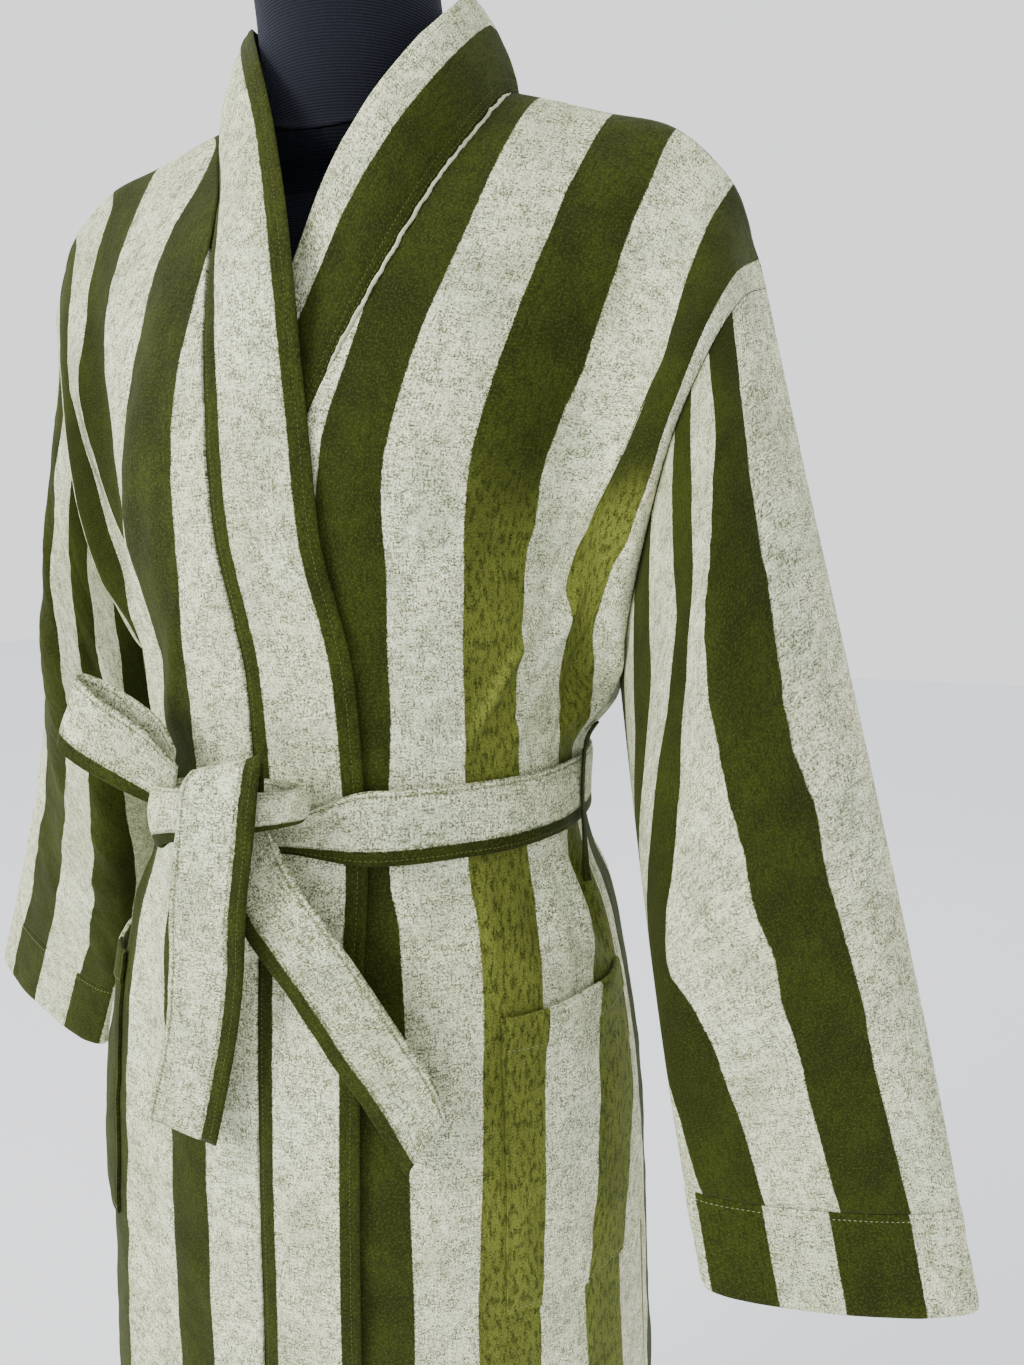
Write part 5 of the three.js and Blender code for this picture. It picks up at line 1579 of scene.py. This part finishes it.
def seam_along(name, measure, value, axis=1):
    """A line on a piece where its first (0) or second (1) cloth measure has a value. The measure
    changes from column to column (axis 1, so the line runs down) or from row to row (axis 0)."""
    grid, uv, normals = outer_faces[name]
    run = uv[len(uv) // 2, : grid.shape[1], measure] if axis == 1 else uv[:, 0, measure]
    order = np.argsort(run)
    place = float(np.interp(value, run[order], np.arange(len(run))[order]))
    return [between(array, place, axis) for array in (grid, normals)]


cuff_line = seam_along("robe_cuff_left", 1, CUFF_LINE, axis=0)[0]
print("the row of stitches on the left cuff follows", len(cuff_line), "places")

# %% Stitches along a line
STITCH_PITCH, STITCH_LENGTH, STITCH_WIDTH, STITCH_HEIGHT = 3.0, 2.3, 0.6, 0.42
GRAIN = np.array([[0, 2, 4], [2, 1, 4], [1, 3, 4], [3, 0, 4], [2, 0, 5], [1, 2, 5], [3, 1, 5], [0, 3, 5]])


def sew(name, lines, material):
    """One mesh of stitches. A stitch's middle stands on its line at even steps of the line's length,
    and its corners lie half its length, half its width and its height away."""
    grains = []
    for line, normals in lines:
        run = run_along(line)
        at = np.arange(STITCH_PITCH, run[-1] - STITCH_PITCH, STITCH_PITCH)
        centre, after, up = (
            np.stack([np.interp(spot, run, array[:, k]) for k in range(3)], 1)
            for spot, array in ((at, line), (at + 1, line), (at, normals))
        )
        up, ahead = unit(up), unit(after - centre)
        aside = np.cross(up, ahead)
        half_length, half_width = ahead * STITCH_LENGTH / 2, aside * STITCH_WIDTH / 2
        rise = up * STITCH_HEIGHT
        corners = (half_length, -half_length, half_width, -half_width, rise, -rise / 2)
        grains.append(np.stack([centre + corner for corner in corners], 1))
    corners = np.concatenate(grains)
    faces = GRAIN[None] + 6 * np.arange(len(corners))[:, None, None]
    made = make_object(name, corners.reshape(-1, 3) / 1000, faces.reshape(-1, 3))
    declare(made, material)
    print("  that is", len(corners), "stitches")


def cotton_thread(name, thread, worn):
    """Cotton thread: fine light and dark fibres and duller worn parts."""
    shader = Shader(name)
    place = shader.add("ShaderNodeTexCoord", {}, {}, 3)
    twist = shader.noise(place, 2600, 2, 0.7)
    wear = shader.noise(place, 35, 3)
    shader.surface_from(
        Base_Color=shader.mix(twist * 0.5 + wear.above(0.55, 0.3) * 0.3, thread, worn),
        Roughness=0.7 + wear * 0.2,
    )
    shader.constants(Specular_IOR_Level=0.2)
    return shader.material


# %% Sew the pieces
green_thread = cotton_thread("green_thread", colour(84, 90, 38), colour(106, 112, 60))
cream_thread = cotton_thread("cream_thread", colour(150, 154, 118), colour(120, 124, 88))
HEM_LINE = NECK_Z - HEM_Z - 20
POCKET_LINES = NECK_Z - POCKET_TOP + POCKET_HEM, NECK_Z - POCKET_BOTTOM - POCKET_LINE
LINES_DOWN = {
    "neckband_stitches": [("robe_neckband_left", BAND_LINES[1]), ("robe_neckband_right", BAND_LINES[-1])],
    "belt_stitches": [
        ("belt_end_front", (BELT_LINE, 33.5, 41)),
        ("belt_end_side", (11.5, 41.6)), ("belt_bow_loop", (11.5, 41.6)),
    ],
}
LINES_ACROSS = {
    "belt_stitches": [("belt_round_waist", 0, (BELT_LINE, BORDER_LINE))],
    "cuff_stitches": [("robe_cuff_left", 1, (CUFF_LINE,)), ("robe_cuff_right", 1, (CUFF_LINE,))],
    "hem_stitches": [
        ("robe_front_left", 1, (HEM_LINE,)), ("robe_front_right", 1, (HEM_LINE,)),
        ("robe_back", 1, (HEM_LINE,)),
    ],
    "pocket_stitches": [("robe_pocket_left", 1, POCKET_LINES), ("robe_pocket_right", 1, POCKET_LINES)],
}
THREADS = {"neckband_stitches": green_thread, "belt_stitches": green_thread}

for stitches in ("neckband_stitches", "belt_stitches", "cuff_stitches", "hem_stitches", "pocket_stitches"):
    lines = [
        seam_along(name, measure, value, axis=0)
        for name, measure, values in LINES_ACROSS.get(stitches, ())
        for value in values
    ]
    lines += [
        seam_along(name, 0, value) for name, values in LINES_DOWN.get(stitches, ()) for value in values
    ]
    sew(stitches, lines, THREADS.get(stitches, cream_thread))

# %% Raw edge beside the left neckband
EDGE_TOP, EDGE_BOTTOM, EDGE_RADIUS, EDGE_LEAST, EDGE_SIDES = 1426, 1246, 1.0, 0.2, 12
EDGE_STEP, EDGE_TAPER, EDGE_WANDER = 0.8, 12, 0.35


def raw_edge(name):
    """A thin crumpled roll along the seam: rings round the front's own edge, of a radius that
    changes along the roll and round it, and which tapers to nothing at both ends."""
    grid, _, normals = outer_faces["robe_front_left"]
    chosen = (LEVELS.drop < 1) & (DOWN.neck_z[:, 0] < EDGE_TOP) & (DOWN.neck_z[:, 0] > EDGE_BOTTOM)
    rough, rough_normals = grid[chosen, -1], normals[chosen, -1]
    run = run_along(rough)
    at = np.arange(0, run[-1], EDGE_STEP)
    line, up = (
        np.stack([np.interp(at, run, array[:, k]) for k in range(3)], 1)
        for array in (rough, rough_normals)
    )
    ahead = unit(np.gradient(line, axis=0))
    aside = unit(np.cross(up, ahead))
    turn = 2 * math.pi * np.arange(EDGE_SIDES)[None, :] / EDGE_SIDES
    taper = np.sqrt(np.clip(np.minimum(at, at[-1] - at) / EDGE_TAPER, 0.04, 1))
    radius = EDGE_RADIUS * taper[:, None] * (1 + 0.45 * ripple(at[:, None], turn * 3, 77, 14, 3))
    radius = np.maximum(radius, EDGE_LEAST)
    wander = EDGE_WANDER * ripple(at, 0 * at, 78, 30, 6)
    centre = line + up * 0.5 + aside * wander[:, None]
    rings = centre[:, None] + aside[:, None] * (radius * np.cos(turn))[..., None]
    rings = rings + up[:, None] * (radius * np.sin(turn))[..., None]
    raw_cloth = cotton_thread("raw_edge_cloth", colour(206, 209, 176), colour(120, 124, 90))
    declare(closed_stack(name, rings), raw_cloth)


raw_edge("robe_raw_edge_left")

# %% [markdown]
# ## The dress form and its stand
# The form is a padded body covered in black ribbed jersey, without arms or a head, on a pole.
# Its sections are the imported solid's own, joined by smooth curves instead of flat facets, with the
# raised seam round the foot of the neck and the seam down its middle.

# %% Sections of the form
# A row holds the height, half the width, the depths to the front and the back, how square the
# section is, the place of its middle, and how far its front and back hang down.
FORM_TORSO = [
    (704, 158, 100, 112, 0.05, 2, 0, 0), (716, 168, 110, 122, 0.05, 2, 0, 0),
    (770, 170, 113, 124, 0.05, 2, 0, 0), (850, 161, 110, 118, 0.05, 2, 0, 0),
    (930, 138, 103, 96, 0.04, 0, 0, 0), (1005, 118, 97, 82, 0.03, 0, 0, 0),
    (1080, 130, 108, 88, 0.04, 0, 0, 0), (1156, 146, 122, 98, 0.05, 0, 0, 0),
    (1225, 158, 110, 94, 0.03, 2, 0, 0), (1290, 178, 84, 84, 0, 4, 0, 0),
    (1345, 196, 62, 66, -0.06, 6, 4, 4), (1382, 202, 50, 52, -0.1, 8, 14, 14),
    (1397.4, 197, 48, 48, -0.14, 8, 27, 18), (1410.8, 157, 50, 44, -0.14, 8, 29, 15),
    (1427, 100, 56, 46, -0.14, 5, 36, 8), (1440, 61, 58, 54, 0, -1, 41, 4),
]
FORM_NECK = [
    (1440.4, 61, 58, 54, 0, -1, 41, 4), (1452, 60, 57, 53, 0, -5, 28, 3), (1480, 58, 56, 52, 0, -13, 12, 0),
    (1518, 57, 55, 52, 0, -24, 6, 0), (1536, 55, 53, 50, 0, -29, 3, 0), (1544, 46, 44, 41, 0, -31, 1, 0),
]
print("the form is", FORM_NECK[-1][0] - FORM_TORSO[0][0], "mm high")

# %% Bodies from sections
CENTRE_SEAM_DEPTH, CENTRE_SEAM_HALF, FOOT_SEAM_HEIGHT, FOOT_SEAM_ROWS = 1.0, 1.3, 1.1, 0.16


def form_body(name, rows_table, steps, relief, columns=160):
    """A ring's x is half the width times the sine, its y the depth times the cosine, and its front
    or back is lowered by the drop, which shapes the foot of the neck."""
    numbered = [(number, *row) for number, row in enumerate(rows_table)]
    table = Table("at z half front back square y drop drop_back", *numbered)
    at = np.linspace(0, len(rows_table) - 1, steps)[:, None]
    angle = (2 * math.pi * np.arange(columns) / columns)[None, :]

    def get(key):
        return table.read(key, at)

    ahead = np.cos(angle) > 0
    fill = 1 + get("square") * np.sin(2 * angle) ** 2
    depth = np.where(ahead, get("front"), get("back"))
    drop = np.where(ahead, get("drop"), get("drop_back"))
    x = get("half") * np.sin(angle) * fill
    y = get("y") - depth * np.cos(angle) * fill
    z = get("z") - drop * np.abs(np.cos(angle))
    rings = points(x, y, z)
    return closed_stack(name, rings + unit(points(x, y, 0 * x)) * relief(x, at)[..., None])


def centre_seam(x, at):
    """A groove down the middle of the front and the back."""
    return -CENTRE_SEAM_DEPTH * bell(x, CENTRE_SEAM_HALF) + 0 * at


def foot_seam(x, at):
    """The raised seam where the neck's cover meets the body's, in rows of the table."""
    return FOOT_SEAM_HEIGHT * bell(at, FOOT_SEAM_ROWS) + 0 * x


print("depth of the seam in the middle:", centre_seam(0.0, 0.0))

# %% Jersey and the finished form
RIB_PITCH = 0.0016


def ribbed_jersey():
    """Black knitted cloth: level ribs from the sine of the height, with a painted highlight on their
    crests, soft fading and pale lint.
    """
    shader = Shader("form_jersey")
    place = shader.add("ShaderNodeTexCoord", {}, {}, 3)
    height = shader.split(place)[2]
    rib = (height * 2 * math.pi / RIB_PITCH + shader.noise(place, 60, 2) * 1.2).sine() * 0.5 + 0.5
    lint = shader.noise(place, 1400, 2, 0.7).above(0.66, 0.1)
    soft = shader.noise(place, 14, 3)
    base = shader.mix(soft.above(0.5, 0.5), colour(11, 13, 18), colour(17, 19, 26))
    # Painted highlight: the crest of each rib is lighter.
    base = shader.mix(rib * 0.35, base, colour(25, 28, 38))
    base = shader.mix(lint * 0.25, base, colour(62, 66, 78))
    shader.surface_from(
        Base_Color=base,
        Roughness=0.82 + soft * 0.12,
        Normal=shader.bump(rib + shader.noise(place, 900, 2) * 0.5, 0.0006, 0.6),
    )
    shader.constants(Sheen_Weight=0.1, Sheen_Roughness=0.5, Sheen_Tint=(0.7, 0.76, 1.0, 1.0))
    shader.constants(Specular_IOR_Level=0.12)
    return shader.material


jersey = ribbed_jersey()
declare(form_body("dress_form_body", FORM_TORSO, 150, centre_seam), jersey, "form_torso")
declare(form_body("dress_form_neck", FORM_NECK, 70, foot_seam), jersey, "form_neck")

# %% Stand
# Pole and base are turned shapes: a profile of radii and heights carried round the axis. Small
# arcs at the corners catch the light as the edges of real painted steel do.


def turned_shape(name, profile, columns=144):
    """Rings of the profile's radii at its heights."""
    profile = np.array(profile, float)
    angle = 2 * math.pi * np.arange(columns) / columns
    radius, z = profile[:, 0][:, None], profile[:, 1][:, None]
    return closed_stack(name, points(radius * np.cos(angle), radius * np.sin(angle), z))


def rounded_profile(corners, radius, steps=6):
    """Each inner corner of a profile is replaced by a short curve between points on its two sides."""
    made = [corners[0]]
    for before, corner, after in zip(corners[:-2], corners[1:-1], corners[2:]):
        before, corner, after = (np.array(p, float) for p in (before, corner, after))
        reach = [min(radius, np.linalg.norm(end - corner) / 2.2) for end in (before, after)]
        start = corner + (before - corner) / np.linalg.norm(before - corner) * reach[0]
        stop = corner + (after - corner) / np.linalg.norm(after - corner) * reach[1]
        for t in np.linspace(0, 1, steps):
            made.append(tuple((1 - t) ** 2 * start + 2 * t * (1 - t) * corner + t * t * stop))
    return [*made, corners[-1]]


def satin_paint():
    """Dark paint, cloudy and dusty, with the fine waves of a sprayed coat."""
    shader = Shader("stand_paint")
    place = shader.add("ShaderNodeTexCoord", {}, {}, 3)
    cloudy = shader.noise(place, 9, 4, 0.6)
    dust = shader.noise(place, 420, 2, 0.7).above(0.62, 0.14)
    peel = shader.noise(place, 700, 1)
    base = shader.mix(cloudy, colour(34, 36, 39), colour(44, 46, 49))
    shader.surface_from(
        Base_Color=shader.mix(dust * 0.3, base, colour(96, 98, 100)),
        Roughness=0.36 + cloudy * 0.16 + dust * 0.2,
        Normal=shader.bump(peel, 0.0002, 0.4),
    )
    shader.constants(Metallic=0.0)
    return shader.material


paint = satin_paint()
POLE = [(0.5, 40.3), (16, 40.3), (16, 668), (32, 692), (32, 703.7), (0.5, 703.7)]
BASE = [(0.5, 0), (197, 0), (200, 3), (197, 9), (34, 12), (25.5, 40), (0.5, 40)]
EDGE_ROUNDING = 2.5
for name, corners, node in (("stand_pole", POLE, "form_pole"), ("stand_base", BASE, "form_base")):
    declare(turned_shape(name, rounded_profile(corners, EDGE_ROUNDING)), paint, node)
